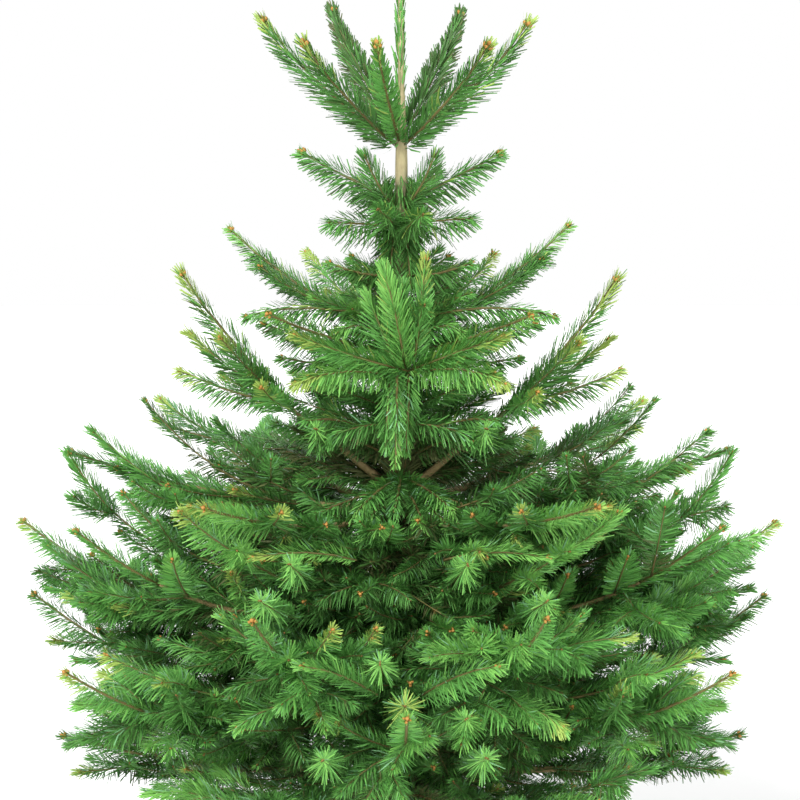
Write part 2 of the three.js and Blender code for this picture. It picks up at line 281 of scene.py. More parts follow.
@dataclass(frozen=True)
class BarkFinish:
    """Bark that darkens with age: pale green-brown on young wood, grey-brown with lichen at the foot."""

    name: str = "bark"
    young: tuple[float, float, float] = (0.46, 0.41, 0.24)
    middle: tuple[float, float, float] = (0.26, 0.2, 0.115)
    old: tuple[float, float, float] = (0.155, 0.12, 0.085)
    lichen: tuple[float, float, float] = (0.3, 0.31, 0.24)
    old_below: float = 0.25
    young_above: float = 1.12

    def make(self) -> bpy.types.Material:
        """The material."""
        book = NodeBook(self.name)
        where = book.place()
        height = book.add("ShaderNodeSeparateXYZ", {}, {"Vector": where}, output=2)
        span = self.young_above - self.old_below
        age = ((height - self.old_below) * (1.0 / span)).clamped()
        base = book.ramp(age, (0.0, self.old), (0.45, self.middle), (0.82, self.middle), (1.0, self.young))
        streaks = book.noise(book.place((1.0, 1.0, 0.28)), 95.0, 4.0, 0.62)
        patches = book.noise(where, 26.0, 3.0)
        fine = book.noise(where, 420.0, 3.0, 0.6)
        dark = book.mix((streaks * 1.7 - 0.42).clamped(), (0.5, 0.45, 0.4), (1.18, 1.14, 1.08))
        tinted = book.mix(0.85, base, dark, "MULTIPLY")
        grown = book.mix((patches * 3.2 - 1.75).clamped() * 0.55, tinted, self.lichen)
        relief = streaks * 0.6 + fine * 0.4
        return book.set(
            Base_Color=grown,
            Roughness=0.74 + 0.16 * fine,
            Specular_IOR_Level=0.35,
            Normal=book.bump(relief, 0.0016),
        )


@dataclass(frozen=True)
class LimbFinish:
    """Smooth bark of boughs: blotches of tan and browner bark, with a fine relief."""

    name: str
    tan: tuple[float, float, float] = (0.33, 0.25, 0.11)
    brown: tuple[float, float, float] = (0.16, 0.115, 0.048)

    def make(self) -> bpy.types.Material:
        """The material."""
        book = NodeBook(self.name)
        where = book.place()
        blotches = book.noise(where, 60.0, 4.0, 0.6)
        fine = book.noise(where, 520.0, 3.0, 0.6)
        colour = book.ramp(blotches, (0.34, self.brown), (0.62, self.tan))
        return book.set(
            Base_Color=colour,
            Roughness=0.66 + 0.16 * fine,
            Specular_IOR_Level=0.35,
            Normal=book.bump(fine, 0.0006),
        )


@dataclass(frozen=True)
class PlankFinish:
    """Bare planed pine with long grain, darker late-wood lines and a few small knots."""

    name: str
    along: int
    early: tuple[float, float, float] = (0.66, 0.47, 0.27)
    late: tuple[float, float, float] = (0.44, 0.265, 0.12)
    knot: tuple[float, float, float] = (0.2, 0.1, 0.045)

    def make(self) -> bpy.types.Material:
        """The material."""
        book = NodeBook(self.name)
        where = book.place((0.05, 1.0, 1.0) if self.along == 0 else (1.0, 0.05, 1.0))
        wander = book.noise(book.place((0.6, 0.6, 1.0)), 9.0, 2.0)
        rings = book.noise(where, 90.0, 2.0, 0.4)
        grain = book.noise(where, 420.0, 4.0, 0.7)
        lines = (rings * 1.1 + wander * 0.5) * 7.0
        wave = book.add("ShaderNodeMath", {"operation": "FRACT"}, {0: lines})
        wood = book.ramp(wave, (0.0, self.early), (0.62, self.early), (0.9, self.late), (1.0, self.early))
        across = (0.55, 0.8, 0.4) if self.along == 0 else (0.8, 0.55, 0.4)
        cells = book.add("ShaderNodeTexVoronoi", {}, {"Vector": book.place(across), "Scale": 9.0})
        spots = (1.0 - cells * 9.0).clamped()
        knotted = book.mix(spots * 0.9, wood, self.knot)
        tinted = book.mix((grain * 1.4 - 0.3).clamped() * 0.35, knotted, self.late)
        return book.set(
            Base_Color=tinted,
            Roughness=0.56 + 0.2 * grain,
            Specular_IOR_Level=0.35,
            Normal=book.bump(grain * 0.5 + wave * 0.5, 0.0004),
        )


class Tone(Enum):
    """The greens that are dealt out by spray, from the shaded inner growth to the newest tips."""

    INNER = PlainFinish("needles_inner", (0.1, 0.12, 0.042), 0.5)
    OLD = PlainFinish("needles_old", (0.052, 0.125, 0.028), 0.46)
    DEEP = PlainFinish("needles_deep", (0.084, 0.238, 0.051), 0.43)
    MID = PlainFinish("needles_mid", (0.122, 0.345, 0.074), 0.4)
    FRESH = PlainFinish("needles_fresh", (0.185, 0.435, 0.092), 0.4)
    YOUNG = PlainFinish("needles_young", (0.32, 0.45, 0.1), 0.42)
    # a pale silver-green, dealt to scattered needles as painted glints
    PAINTED_GLINT = PlainFinish("needles_painted_glint", (0.19, 0.4, 0.2), 0.36)

    @property
    def slot(self) -> str:
        """The name of the material slot that this green belongs to."""
        if self in (Tone.INNER, Tone.OLD):
            return "needles_dark"
        if self is Tone.YOUNG:
            return "needles_young"
        return "needles"


STEPS = list(Tone)  # the greens in order, so that a spray's older needles are one step before its own
BUD_FINISH = PlainFinish("buds", (0.4, 0.2, 0.05), 0.55)
SMALL_BUD_FINISH = PlainFinish("small_buds", (0.22, 0.13, 0.04), 0.6)
TWIG_FINISH = PlainFinish("twigs", (0.15, 0.12, 0.04), 0.62, 0.35)


# ---------------------------------------------------------------- lines and envelopes


def unit(vector: np.ndarray) -> np.ndarray:
    """The vector or vectors at length 1."""
    length = np.linalg.norm(vector, axis=-1, keepdims=True)
    return vector / np.maximum(length, 1e-12)


@dataclass
class Line:
    """A polyline that can be read at any distance along it."""

    points: np.ndarray

    def __post_init__(self) -> None:
        """Measures the distance to each point."""
        steps = np.linalg.norm(np.diff(self.points, axis=0), axis=1)
        self.marks = np.concatenate([[0.0], np.cumsum(steps)])

    @property
    def length(self) -> float:
        """The whole length in metres."""
        return float(self.marks[-1])

    def at(self, distance: "float | np.ndarray") -> np.ndarray:
        """The point or points at a distance from the start."""
        axes = [np.interp(distance, self.marks, self.points[:, k]) for k in range(3)]
        return np.stack(axes, axis=-1)

    def heading(self, distance: "float | np.ndarray") -> np.ndarray:
        """The direction or directions at a distance from the start."""
        gap = max(self.length * 0.04, 1e-5)
        ahead = np.minimum(np.asarray(distance) + gap, self.length)
        behind = np.maximum(np.asarray(distance) - gap, 0.0)
        return unit(self.at(ahead) - self.at(behind))

    def part(self, start: float, end: float, count: int = 8) -> "Line":
        """The stretch of the line between two distances."""
        return Line(self.at(np.linspace(start, end, count)))

    def moved(self, shift: np.ndarray) -> "Line":
        """The line with its far end shifted, and each point before it by its share."""
        return Line(self.points + shift * np.linspace(0, 1, len(self.points))[:, None])


def curve(start: np.ndarray, middle: np.ndarray, end: np.ndarray, count: int) -> Line:
    """A quadratic curve as a line.

    Args:
        start: first point.
        middle: control point.
        end: last point.
        count: how many points.

    Returns:
        The line through count points of the curve.
    """
    t = np.linspace(0.0, 1.0, count)[:, None]
    return Line((1 - t) ** 2 * start + 2 * t * (1 - t) * middle + t**2 * end)


def plumb(start: float, end: float, count: int) -> Line:
    """A line on the stem's axis from one height to another."""
    return Line(np.array([[0.0, 0.0, level] for level in np.linspace(start, end, count)]))


def outward(azimuth: float) -> np.ndarray:
    """The level direction away from the stem at an azimuth in radians."""
    return np.array([math.cos(azimuth), math.sin(azimuth), 0.0])


class Envelope:
    """A foliage solid of the frame, read as the room that shoots may fill."""

    FAR = 5.0

    def __init__(self, node: str) -> None:
        """Reads the node's mesh and joins its loose triangles.

        Args:
            node: the frame's node.
        """
        self.node = node
        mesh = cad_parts[node].data
        mesh.calc_loop_triangles()
        points = np.array([v.co[:] for v in mesh.vertices])
        faces = np.array([t.vertices[:] for t in mesh.loop_triangles])
        cells = np.round(points / JOIN).astype(np.int64)
        _, first, inverse = np.unique(cells, axis=0, return_index=True, return_inverse=True)
        self.points = points[first]
        self.faces = inverse.reshape(-1)[faces]
        self.tree = BVHTree.FromPolygons(self.points.tolist(), self.faces.tolist())

    @property
    def radii(self) -> np.ndarray:
        """Each corner's distance from the stem's axis."""
        return np.hypot(self.points[:, 0], self.points[:, 1])

    @property
    def span(self) -> tuple[float, float]:
        """The heights of the lowest and the highest corner."""
        return self.points[:, 2].min(), self.points[:, 2].max()

    def foot(self, depth: float) -> np.ndarray:
        """The middle of the corners nearest to the stem, taken over a depth in metres."""
        return self.points[self.radii < self.radii.min() + depth].mean(axis=0)

    def room(self, origin: np.ndarray, way: np.ndarray, limit: float) -> float:
        """How far a shoot can run from a point before it leaves the solid.

        Args:
            origin: the point, inside the solid.
            way: the unit direction.
            limit: the longest run that is asked for.

        Returns:
            The run in metres, at most the limit.
        """
        hit = self.tree.ray_cast(Vector(origin), Vector(way), limit)
        return limit if hit[3] is None else float(hit[3])

    def middle_height(self, place: np.ndarray) -> float | None:
        """Half way between the solid's top and underside over a place, or None beside it."""
        above = self.tree.ray_cast(Vector((place[0], place[1], self.FAR)), Vector((0, 0, -1)))
        below = self.tree.ray_cast(Vector((place[0], place[1], -self.FAR)), Vector((0, 0, 1)))
        if above[0] is None or below[0] is None:
            return None
        return (above[0].z + below[0].z) / 2

    def peaks(self, score: np.ndarray) -> np.ndarray:
        """Corners whose score is above that of all their neighbours.

        Args:
            score: one number for each corner.

        Returns:
            Their indices, highest first.
        """
        top = np.ones(len(score), dtype=bool)
        for a, b in ((0, 1), (1, 2), (2, 0)):
            one, two = self.faces[:, a], self.faces[:, b]
            top[one[score[one] < score[two]]] = False
            top[two[score[two] < score[one]]] = False
        found = np.flatnonzero(top)
        return found[np.argsort(-score[found])]


# ---------------------------------------------------------------- growth


@dataclass(frozen=True)
class Stance:
    """How a needle stands: degrees off its shoot, and how far it bends ahead along the shoot and up."""

    lean: float
    ahead: float
    up: float


class Habit(Enum):
    """How needles stand on a shoot."""

    SPREAD = Stance(53.0, 0.3, 0.12)
    UPRIGHT = Stance(54.0, 0.75, 0.1)
    PRESSED = Stance(16.0, 0.3, 0.12)
    HANGING = Stance(57.0, 0.22, -0.42)
    STAR = Stance(70.0, 0.1, -0.24)


@dataclass
class Shoot:
    """One needled length of wood: a year's growth, or several in line.

    density, needle and stout are factors on the number, length and width of its needles. Fine needles have
    a blunt end and the others are pointed.
    """

    line: Line
    root_radius: float
    tip_radius: float
    tone: Tone
    habit: Habit = Habit.SPREAD
    density: float = 1.0
    needled_from: float = 0.0
    buds: int = 0
    fine: bool = True
    tip_tone: Tone | None = None
    needle: float = 1.0
    stout: float = 1.0


@dataclass
class Growth:
    """Everything that has grown: needled shoots and bare limbs."""

    shoots: list[Shoot] = field(default_factory=list)
    limbs: list[tuple[Line, float, float]] = field(default_factory=list)


@dataclass(frozen=True)
class Habits:
    """How such a fir branches, with years and radii for limbs, their branches, theirs and the last ones.

    The sags, one for each whorl from 0, bend a limb down at its middle by a share of its length. The lifts
    raise a tip, and the draws move it towards the stem.
    """

    needle: float = 27 * MM
    fork_angle: float = 46.0
    years: tuple[float, ...] = (145 * MM, 124 * MM, 100 * MM, 70 * MM)
    shortest: float = 30 * MM
    side_share: float = 0.68
    buds: tuple[int, ...] = (5, 4, 2, 1)
    twig_radii: tuple[float, ...] = (1.8 * MM, 1.35 * MM, 1.0 * MM, 0.8 * MM)
    sags: tuple[float, ...] = (0.0, 0.0, 0.0, 0.035, 0.12, 0.11, 0.03)
    front_sag: float = 0.17
    rising_lift: float = 14 * MM
    rising_draw: float = 10 * MM
    stem_shoot_lift: float = 16 * MM
    top_draw: float = 13 * MM
    collar_lift: float = 12 * MM


@dataclass(frozen=True)
class Depths:
    """Shares of the crown's radius at which a spray's look changes, and what changes there."""

    inner_ends: float = 0.5
    old_ends: float = 0.64
    hidden_ends: float = 0.6
    budded_from: float = 0.4
    long_from: float = 0.82
    fine_from_low: float = 0.8
    fine_from_high: float = 0.34
    hidden_density: float = 0.54
    hidden_stout: float = 1.45
    long_needle: float = 1.14


class Crown:
    """The outline that all envelopes make together, inside which loose growth fills the gaps between them."""

    LEVELS = np.arange(0.17, 1.2, 0.03)
    BAND = 0.045
    STEP = 0.012

    def __init__(self, envelopes: Iterable[Envelope], share: float, flattening: float = 1.12) -> None:
        """Measures the crown's radius at each height.

        Args:
            envelopes: all foliage solids.
            share: how much of the radius may be filled.
            flattening: how much narrower the crown is from front to back.
        """
        self.flattening = flattening
        points = np.vstack([envelope.points for envelope in envelopes])
        radius = self._radius(points)
        near = [radius[np.abs(points[:, 2] - level) < self.BAND] for level in self.LEVELS]
        self.reach = np.array([share * (band.max() if len(band) else 0.0) for band in near])

    def _radius(self, points: np.ndarray) -> np.ndarray:
        """The distance from the stem, with the depth stretched to match the width."""
        return np.hypot(points[..., 0], points[..., 1] * self.flattening)

    def room(self, origin: np.ndarray, way: np.ndarray, limit: float) -> float:
        """How far a shoot can run from a point before it leaves the crown."""
        steps = np.arange(0.0, limit + 1e-9, self.STEP)
        points = origin + steps[:, None] * way
        reach = np.interp(points[:, 2], self.LEVELS, self.reach, left=0.0, right=0.0)
        outside = self._radius(points) > reach
        return float(steps[np.argmax(outside)]) if outside.any() else limit


@dataclass
class ToneRule:
    """Which greens the sprays of one envelope take, by its whorl and by how deep in the crown they sit. The
    outer row's paler greens go where more light reaches, as painted light, and the inner row's darker greens
    stand for both older inner needles and painted shade.

    vigour is a factor on the length of its years.
    """

    whorl: int
    outer: tuple[Tone, ...]
    inner: tuple[Tone, ...]
    tips: tuple[Tone | None, ...]
    crown_radius: float
    vigour: float = 1.0

    def depth_of(self, point: np.ndarray) -> float:
        """How far out a point is: 0 at the stem, 1 at the crown's edge."""
        return float(np.clip(math.hypot(point[0], point[1]) / self.crown_radius, 0.0, 1.0))

    def light_of(self, point: np.ndarray) -> float:
        """How much light reaches a point: as far out as it is, more in front, and less on the underside."""
        front = 0.3 * float(np.clip((-0.06 - point[1]) / 0.2, 0.0, 1.0)) if self.whorl > 3 else 0.0
        return self.depth_of(point) + front - 0.8 * float(np.clip((0.3 - point[2]) / 0.06, 0.0, 1.0))

    def pick(self, random: np.random.Generator, depth: float) -> Tone:
        """A green for a spray.

        Args:
            random: the stream.
            depth: 0 at the stem, 1 at the crown's edge, or the light that light_of gives a spray; the higher,
                the likelier a paler green of the outer row, as painted light.

        Returns:
            One of the greens.
        """
        row = self.outer if random.random() < 0.15 + 0.95 * depth else self.inner
        return row[int(random.integers(len(row)))]

    def older(self, tone: Tone) -> Tone:
        """The green of the same spray's older needles."""
        return STEPS[max(STEPS.index(tone) - 1, 1)]

    def tip(self, random: np.random.Generator) -> Tone | None:
        """The green of the needles at a shoot's end, or None where it doesn't change."""
        return self.tips[int(random.integers(len(self.tips)))]


def tone_rule(node: str) -> ToneRule:
    """The greens of one foliage node.

    Args:
        node: the node's name.

    Returns:
        Its rule.
    """
    low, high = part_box(node)
    radius = max(abs(low[0]), abs(high[0]), abs(low[1]), abs(high[1]))
    if node.startswith("top_shoot"):
        # the back pair, behind the others, take a dark green as painted shade
        dark = "back" in node
        outer = (Tone.OLD if dark else Tone.MID if "front" in node else Tone.DEEP,)
        return ToneRule(1, outer, outer, (None if dark else Tone.YOUNG,), radius)
    if node == "leader_needles":
        return ToneRule(1, (Tone.MID,), (Tone.MID,), (Tone.YOUNG,), radius)
    if node.startswith(("stem_shoot", "collar_upper")):
        return ToneRule(1, (Tone.DEEP,), (Tone.DEEP, Tone.OLD), (Tone.MID, None), radius, 2.0)
    if node == "collar_lower":
        return ToneRule(2, (Tone.MID,), (Tone.DEEP,), (Tone.FRESH,), radius, 2.0)
    whorl = int(node.split("_")[1])
    if "rising" in node or "upright" in node:
        return ToneRule(whorl, (Tone.DEEP, Tone.MID), (Tone.DEEP,), (Tone.YOUNG,), radius, 1.6)
    if whorl == 2:
        tips = (Tone.YOUNG,) if "back" in node else (Tone.FRESH, None)
        return ToneRule(2, (Tone.MID, Tone.DEEP), (Tone.MID, Tone.DEEP), tips, radius, 1.4)
    outer = (Tone.MID, Tone.DEEP, Tone.MID, Tone.FRESH)
    if "side" in node:
        outer = (Tone.DEEP, Tone.MID, Tone.DEEP)
    tips = (Tone.YOUNG, Tone.FRESH, None, None)
    return ToneRule(whorl, outer, (Tone.OLD, Tone.DEEP), tips, radius, 1.15 if whorl == 3 else 1.0)


# ---------------------------------------------------------------- growth that is placed one by one


@dataclass(frozen=True)
class Window:
    """Room that loose shoots keep clear of at both sides, as the camera sees it on the plane of the stem.

    Its left and right edges are measured out from the stem, its low and high ones up from the floor, and its
    depth is how far back it reaches.
    """

    left: float
    right: float
    low: float
    high: float
    depth: float

    def holds(self, across: np.ndarray, height: np.ndarray, away: np.ndarray) -> bool:
        """Whether any of the points stands in it."""
        beside = (across > self.left) & (across < self.right)
        return bool(np.any(beside & (height > self.low) & (height < self.high) & (away < self.depth)))


WINDOWS = (
    # in front of the rising limbs of the third whorl
    Window(0.03, 0.08, 0.655, 0.74, -0.03),
    Window(0.07, 0.125, 0.685, 0.765, -0.04),
    Window(0.115, 0.175, 0.715, 0.8, -0.06),
    # in front of the fork
    Window(-0.01, 0.128, 0.83, 0.99, -0.13),
    # the gaps to the sky, right through the crown
    Window(0.026, 0.064, 0.765, 0.805, 0.5),
    Window(0.108, 0.165, 0.925, 1.015, 0.5),
    Window(0.18, 0.29, 0.768, 0.79, 0.5),
    Window(0.29, 0.39, 0.715, 0.74, 0.5),
    Window(0.37, 0.42, 0.672, 0.705, 0.5),
    Window(0.39, 0.45, 0.57, 0.605, 0.5),
)

# Root, middle and tip of branches in millimetres, for the right side: those that turn up at the side of the
# crown, and those that stand out in front.
SIDE_BRANCHES = (
    ((200, -50, 620), (330, -60, 640), (452, -60, 760)),
    ((300, -10, 560), (420, -20, 590), (494, -20, 722)),
    ((150, 60, 640), (280, 60, 660), (388, 60, 796)),
    ((240, -100, 560), (330, -120, 580), (400, -130, 676)),
    ((300, -60, 480), (420, -60, 500), (520, -60, 590)),
    ((200, -140, 350), (320, -150, 350), (420, -150, 396)),
    ((160, -180, 330), (250, -220, 350), (330, -240, 400)),
    ((222, -60, 561), (300, -60, 585), (392, -60, 650)),
    ((160, -40, 590), (230, -60, 590), (300, -70, 634)),
    ((230, 0, 515), (332, 0, 540), (420, 0, 602)),
    ((190, -80, 436), (270, -90, 462), (352, -100, 500)),
    ((300, -40, 424), (400, -50, 424), (482, -40, 416)),
    ((280, -40, 350), (390, -50, 352), (476, -40, 352)),
    ((330, -20, 500), (430, -30, 502), (522, -20, 520)),
    ((180, -200, 440), (260, -170, 438), (350, -120, 462)),
)
FRONT_BRANCHES = (
    ((140, -240, 556), (225, -290, 600), (298, -330, 672)),
    ((228, -250, 398), (320, -280, 420), (404, -300, 471)),
    ((30, -400, 436), (80, -450, 480), (126, -480, 490)),
    ((150, -360, 415), (195, -385, 414), (218, -390, 390)),
    ((60, -280, 600), (130, -320, 626), (200, -340, 612)),
)


@dataclass(frozen=True)
class Placed:
    """A listed shoot: root, middle and tip in millimetres, its greens and how its needles stand."""

    root: tuple[float, float, float]
    middle: tuple[float, float, float]
    tip: tuple[float, float, float]
    tone: Tone
    tip_tone: Tone | None
    habit: Habit
    buds: int = 3
    twig: float = 2.2
    density: float = 1.1
    needle: float = 1.0
    bare: float = 0.0

    def grown(self) -> Shoot:
        """The shoot along its curve, with a twig that tapers by a quarter."""
        points = [np.array(point) * MM for point in (self.root, self.middle, self.tip)]
        return Shoot(
            curve(*points, 12), self.twig * MM, 0.75 * self.twig * MM, self.tone, self.habit,
            density=self.density, buds=self.buds, tip_tone=self.tip_tone, needle=self.needle,
            needled_from=self.bare,
        )

    def mirrored(self) -> "Placed":
        """The same shoot on the other side of the stem."""
        (rx, *root), (mx, *middle), (tx, *tip) = self.root, self.middle, self.tip
        return replace(self, root=(-rx, *root), middle=(-mx, *middle), tip=(-tx, *tip))


def on_both_sides(*shoots: Placed) -> Iterator[Placed]:
    """The shoots as given, and then all of them mirrored."""
    yield from shoots
    yield from (shoot.mirrored() for shoot in shoots)


def star(x: float, y: float, z: float, size: float, tips: Tone = Tone.FRESH) -> tuple[Placed, Placed]:
    """A shoot that points straight out low in the crown, with a darker length of wood behind it.

    Args:
        x: its tip, in millimetres to the right.
        y: its tip, in millimetres back.
        z: its tip, in millimetres up.
        size: a factor on its needles.
        tips: the green of its end.

    Returns:
        The shoot whose needles stand as a star round its buds, and the length behind it.
    """
    root, joint = (0.8 * x, y + 210, z - 60), (0.97 * x, y + 90, z - 26)
    inner, neck = (0.885 * x, y + 150, z - 43), (0.935 * x, y + 90, z - 26)
    return (
        Placed(root, joint, (x, y, z), Tone.MID, tips, Habit.STAR, 3, 1.5, 0.8, size, 0.5),
        Placed(root, inner, neck, Tone.DEEP, None, Habit.SPREAD, 0, 1.6, 0.8, 0.9),
    )


# The broad plume and the thin budded shoot that rise from the front fork.
PLUME = (
    Placed((8, -98, 855), (-2, -138, 925), (-24, -128, 1002), Tone.FRESH, None, Habit.UPRIGHT, 1, 1.6, 1.2),
    Placed((2, -94, 850), (-24, -122, 900), (-46, -112, 962), Tone.MID, Tone.FRESH, Habit.UPRIGHT, 1, 1.6),
    Placed((6, -90, 860), (-8, -116, 910), (4, -104, 975), Tone.MID, None, Habit.UPRIGHT, 1, 1.6),
    Placed(
        (19, -100, 852), (30, -116, 930), (36, -108, 1014), Tone.MID, Tone.YOUNG, Habit.UPRIGHT, 5, needle=0.8
    ),
)

# The two long arms of the front fork, and the two arched ones below them.
ARMS = (
    *(
        Placed(root, middle, tip, Tone.MID, Tone.YOUNG, Habit.UPRIGHT, 4, 1.7, 1.3)
        for root, middle, tip in (
            ((10, -102, 852), (-66, -150, 872), (-146, -204, 908)),
            ((20, -102, 854), (70, -150, 878), (145, -204, 906)),
        )
    ),
    *(
        Placed(root, middle, tip, Tone.FRESH, Tone.YOUNG, Habit.HANGING, 4, 1.6, 1.3, 1.1)
        for root, middle, tip in (
            ((-8, -96, 842), (-75, -164, 868), (-148, -200, 840)),
            ((22, -98, 846), (82, -168, 874), (150, -200, 839)),
        )
    ),
)

# The spray that hangs from the fork, between two hanging twigs, and the sprays at both sides of them.
FORK_SPRAYS = (
    Placed(
        (-4, -100, 850), (-4, -180, 846), (-6, -192, 724), Tone.DEEP, Tone.FRESH, Habit.UPRIGHT, 1, 2.0, 1.0,
        needle=0.66,
    ),
    *(
        Placed(root, middle, tip, Tone.MID, None, Habit.UPRIGHT, 3, 2.4, 1.0, needle=0.8)
        for root, middle, tip in (
            ((-14, -96, 848), (-18, -124, 815), (-20, -122, 738)),
            ((12, -98, 846), (14, -124, 815), (8, -122, 738)),
        )
    ),
    *on_both_sides(
        # side sprays of the hanging twigs
        Placed((20, -104, 774), (56, -132, 778), (98, -128, 760), Tone.DEEP, Tone.MID, Habit.HANGING, 2, 1.4),
        # sprays that fill the angles over and under the long arms
        Placed((10, -92, 850), (70, -122, 886), (122, -142, 866), Tone.FRESH, None, Habit.HANGING, 2, 1.4),
        Placed((10, -70, 880), (50, -100, 938), (92, -112, 908), Tone.MID, Tone.FRESH, Habit.HANGING, 2, 1.4),
        # the olive inner growth between the rising limbs
        Placed((4, -14, 690), (30, -16, 730), (62, -14, 772), Tone.INNER, None, Habit.SPREAD, 2, 2.2),
        Placed((8, -8, 700), (60, -8, 722), (112, -6, 776), Tone.INNER, None, Habit.SPREAD, 2, 2.0),
        Placed((10, -10, 684), (80, 0, 700), (150, 4, 756), Tone.INNER, None, Habit.SPREAD, 2, 2.0),
        Placed((2, -20, 676), (10, -46, 720), (16, -44, 766), Tone.INNER, None, Habit.UPRIGHT, 2, 1.6),
        Placed((10, 0, 680), (84, 30, 690), (170, 40, 720), Tone.INNER, None, Habit.HANGING, 2, 2.0),
    ),
)

# Shoots beside the stem: over the rising limbs, and two short dark ones over the sleeve.
STEM_SIDES = (
    *on_both_sides(
        *(
            Placed((24, -46, z), (80, -96, z + 36), (x, -128, z + lift), tone, Tone.MID, Habit.HANGING)
            for x, z, lift, tone in ((138, 752, 30, Tone.DEEP), (104, 726, 26, Tone.OLD))
        )
    ),
    Placed((6, -8, 1088), (30, -26, 1110), (50, -38, 1164), Tone.DEEP, None, Habit.UPRIGHT, 3, 2.0, 1.0),
    Placed((-6, -8, 1088), (-30, -26, 1110), (-51, -38, 1164), Tone.DEEP, None, Habit.UPRIGHT, 3, 2.0, 1.0),
)

# The low skirt that hides the stem where the third whorl starts.
SKIRT = tuple(
    Placed((x, -18, z), middle, tip, tone, tip_tone, Habit.HANGING, density=1.3)
    for x, z, middle, tip, tone, tip_tone in (
        (-4, 684, (-30, -90, 684), (-66, -158, 648), Tone.MID, Tone.FRESH),
        (4, 684, (36, -90, 688), (78, -150, 652), Tone.MID, Tone.FRESH),
        (0, 690, (2, -80, 690), (-8, -142, 652), Tone.DEEP, Tone.MID),
        (0, 680, (20, -100, 670), (34, -168, 634), Tone.DEEP, Tone.MID),
        (0, 676, (-60, -80, 668), (-122, -140, 646), Tone.DEEP, Tone.MID),
        (0, 676, (62, -80, 668), (128, -140, 646), Tone.DEEP, Tone.MID),
        (0, 674, (-34, -90, 662), (-48, -170, 630), Tone.MID, Tone.FRESH),
        (0, 674, (40, -90, 664), (70, -180, 632), Tone.MID, Tone.FRESH),
    )
)

# The needles that hang from the sleeve over the second whorl.
SLEEVE_FRINGE = tuple(
    Placed(
        (18 * math.cos(turn), 18 * math.sin(turn), 1056), (26 * math.cos(turn), 26 * math.sin(turn), 1020),
        (30 * math.cos(turn), 30 * math.sin(turn), 976), Tone.DEEP, None, Habit.UPRIGHT, 0, 1.4, 1.0, 0.8,
    )
    for turn in np.linspace(0, math.tau, 6, endpoint=False)
)

# The arms that reach out from the forks of the rising limbs, and those behind the long arms.
OUTER_ARMS = tuple(
    on_both_sides(
        Placed((186, -78, 806), (250, -78, 816), (324, -60, 850), Tone.DEEP, Tone.YOUNG, Habit.HANGING, 4),
        Placed((12, -10, 990), (50, -40, 984), (104, -50, 1008), Tone.DEEP, Tone.MID, Habit.HANGING, 4),
        Placed((10, 0, 990), (34, 20, 986), (72, 24, 1016), Tone.DEEP, Tone.MID, Habit.HANGING, 4),
        Placed((30, 10, 860), (110, -30, 850), (176, -40, 868), Tone.DEEP, Tone.MID, Habit.HANGING, 4),
        Placed((30, -30, 926), (140, -60, 956), (226, -60, 930), Tone.DEEP, Tone.MID, Habit.HANGING, 4),
    )
)

# Last year's shoots low in the crown that point straight out.
STARS = (
    *star(-183, -450, 571, 1.1),
    *star(193, -450, 571, 1.1),
    *star(-26, -490, 496, 1.0),
    *star(6, -505, 443, 1.25, Tone.YOUNG),
    *star(-101, -480, 366, 1.05),
    *star(113, -480, 369, 1.05),
    *star(-147, -400, 612, 1.0),
    *star(90, -400, 612, 1.0),
    *star(87, -480, 421, 0.95),
    *star(-121, -156, 772, 1.1),
    *star(124, -156, 772, 1.1),
)

# Dry brown twigs on the underside, in front of the stem.
DRY_TWIGS = tuple(
    on_both_sides(
        *(
            Placed(
                (8, -290, z), (60, -340, z + 10), (x, y, z + lift), Tone.INNER, None, Habit.SPREAD, 1, 2.0,
                density=0.8, needle=0.8,
            )
            for x, y, z, lift in (
                (130, -385, 262, 4), (100, -390, 244, -4), (60, -400, 274, -6), (150, -360, 236, 0),
            )
        )
    )
)

PLACED_SHOOTS = (
    *PLUME, *ARMS, *FORK_SPRAYS, *STEM_SIDES, *SKIRT, *SLEEVE_FRINGE, *OUTER_ARMS, *STARS, *DRY_TWIGS
)


# ---------------------------------------------------------------- the branching rule


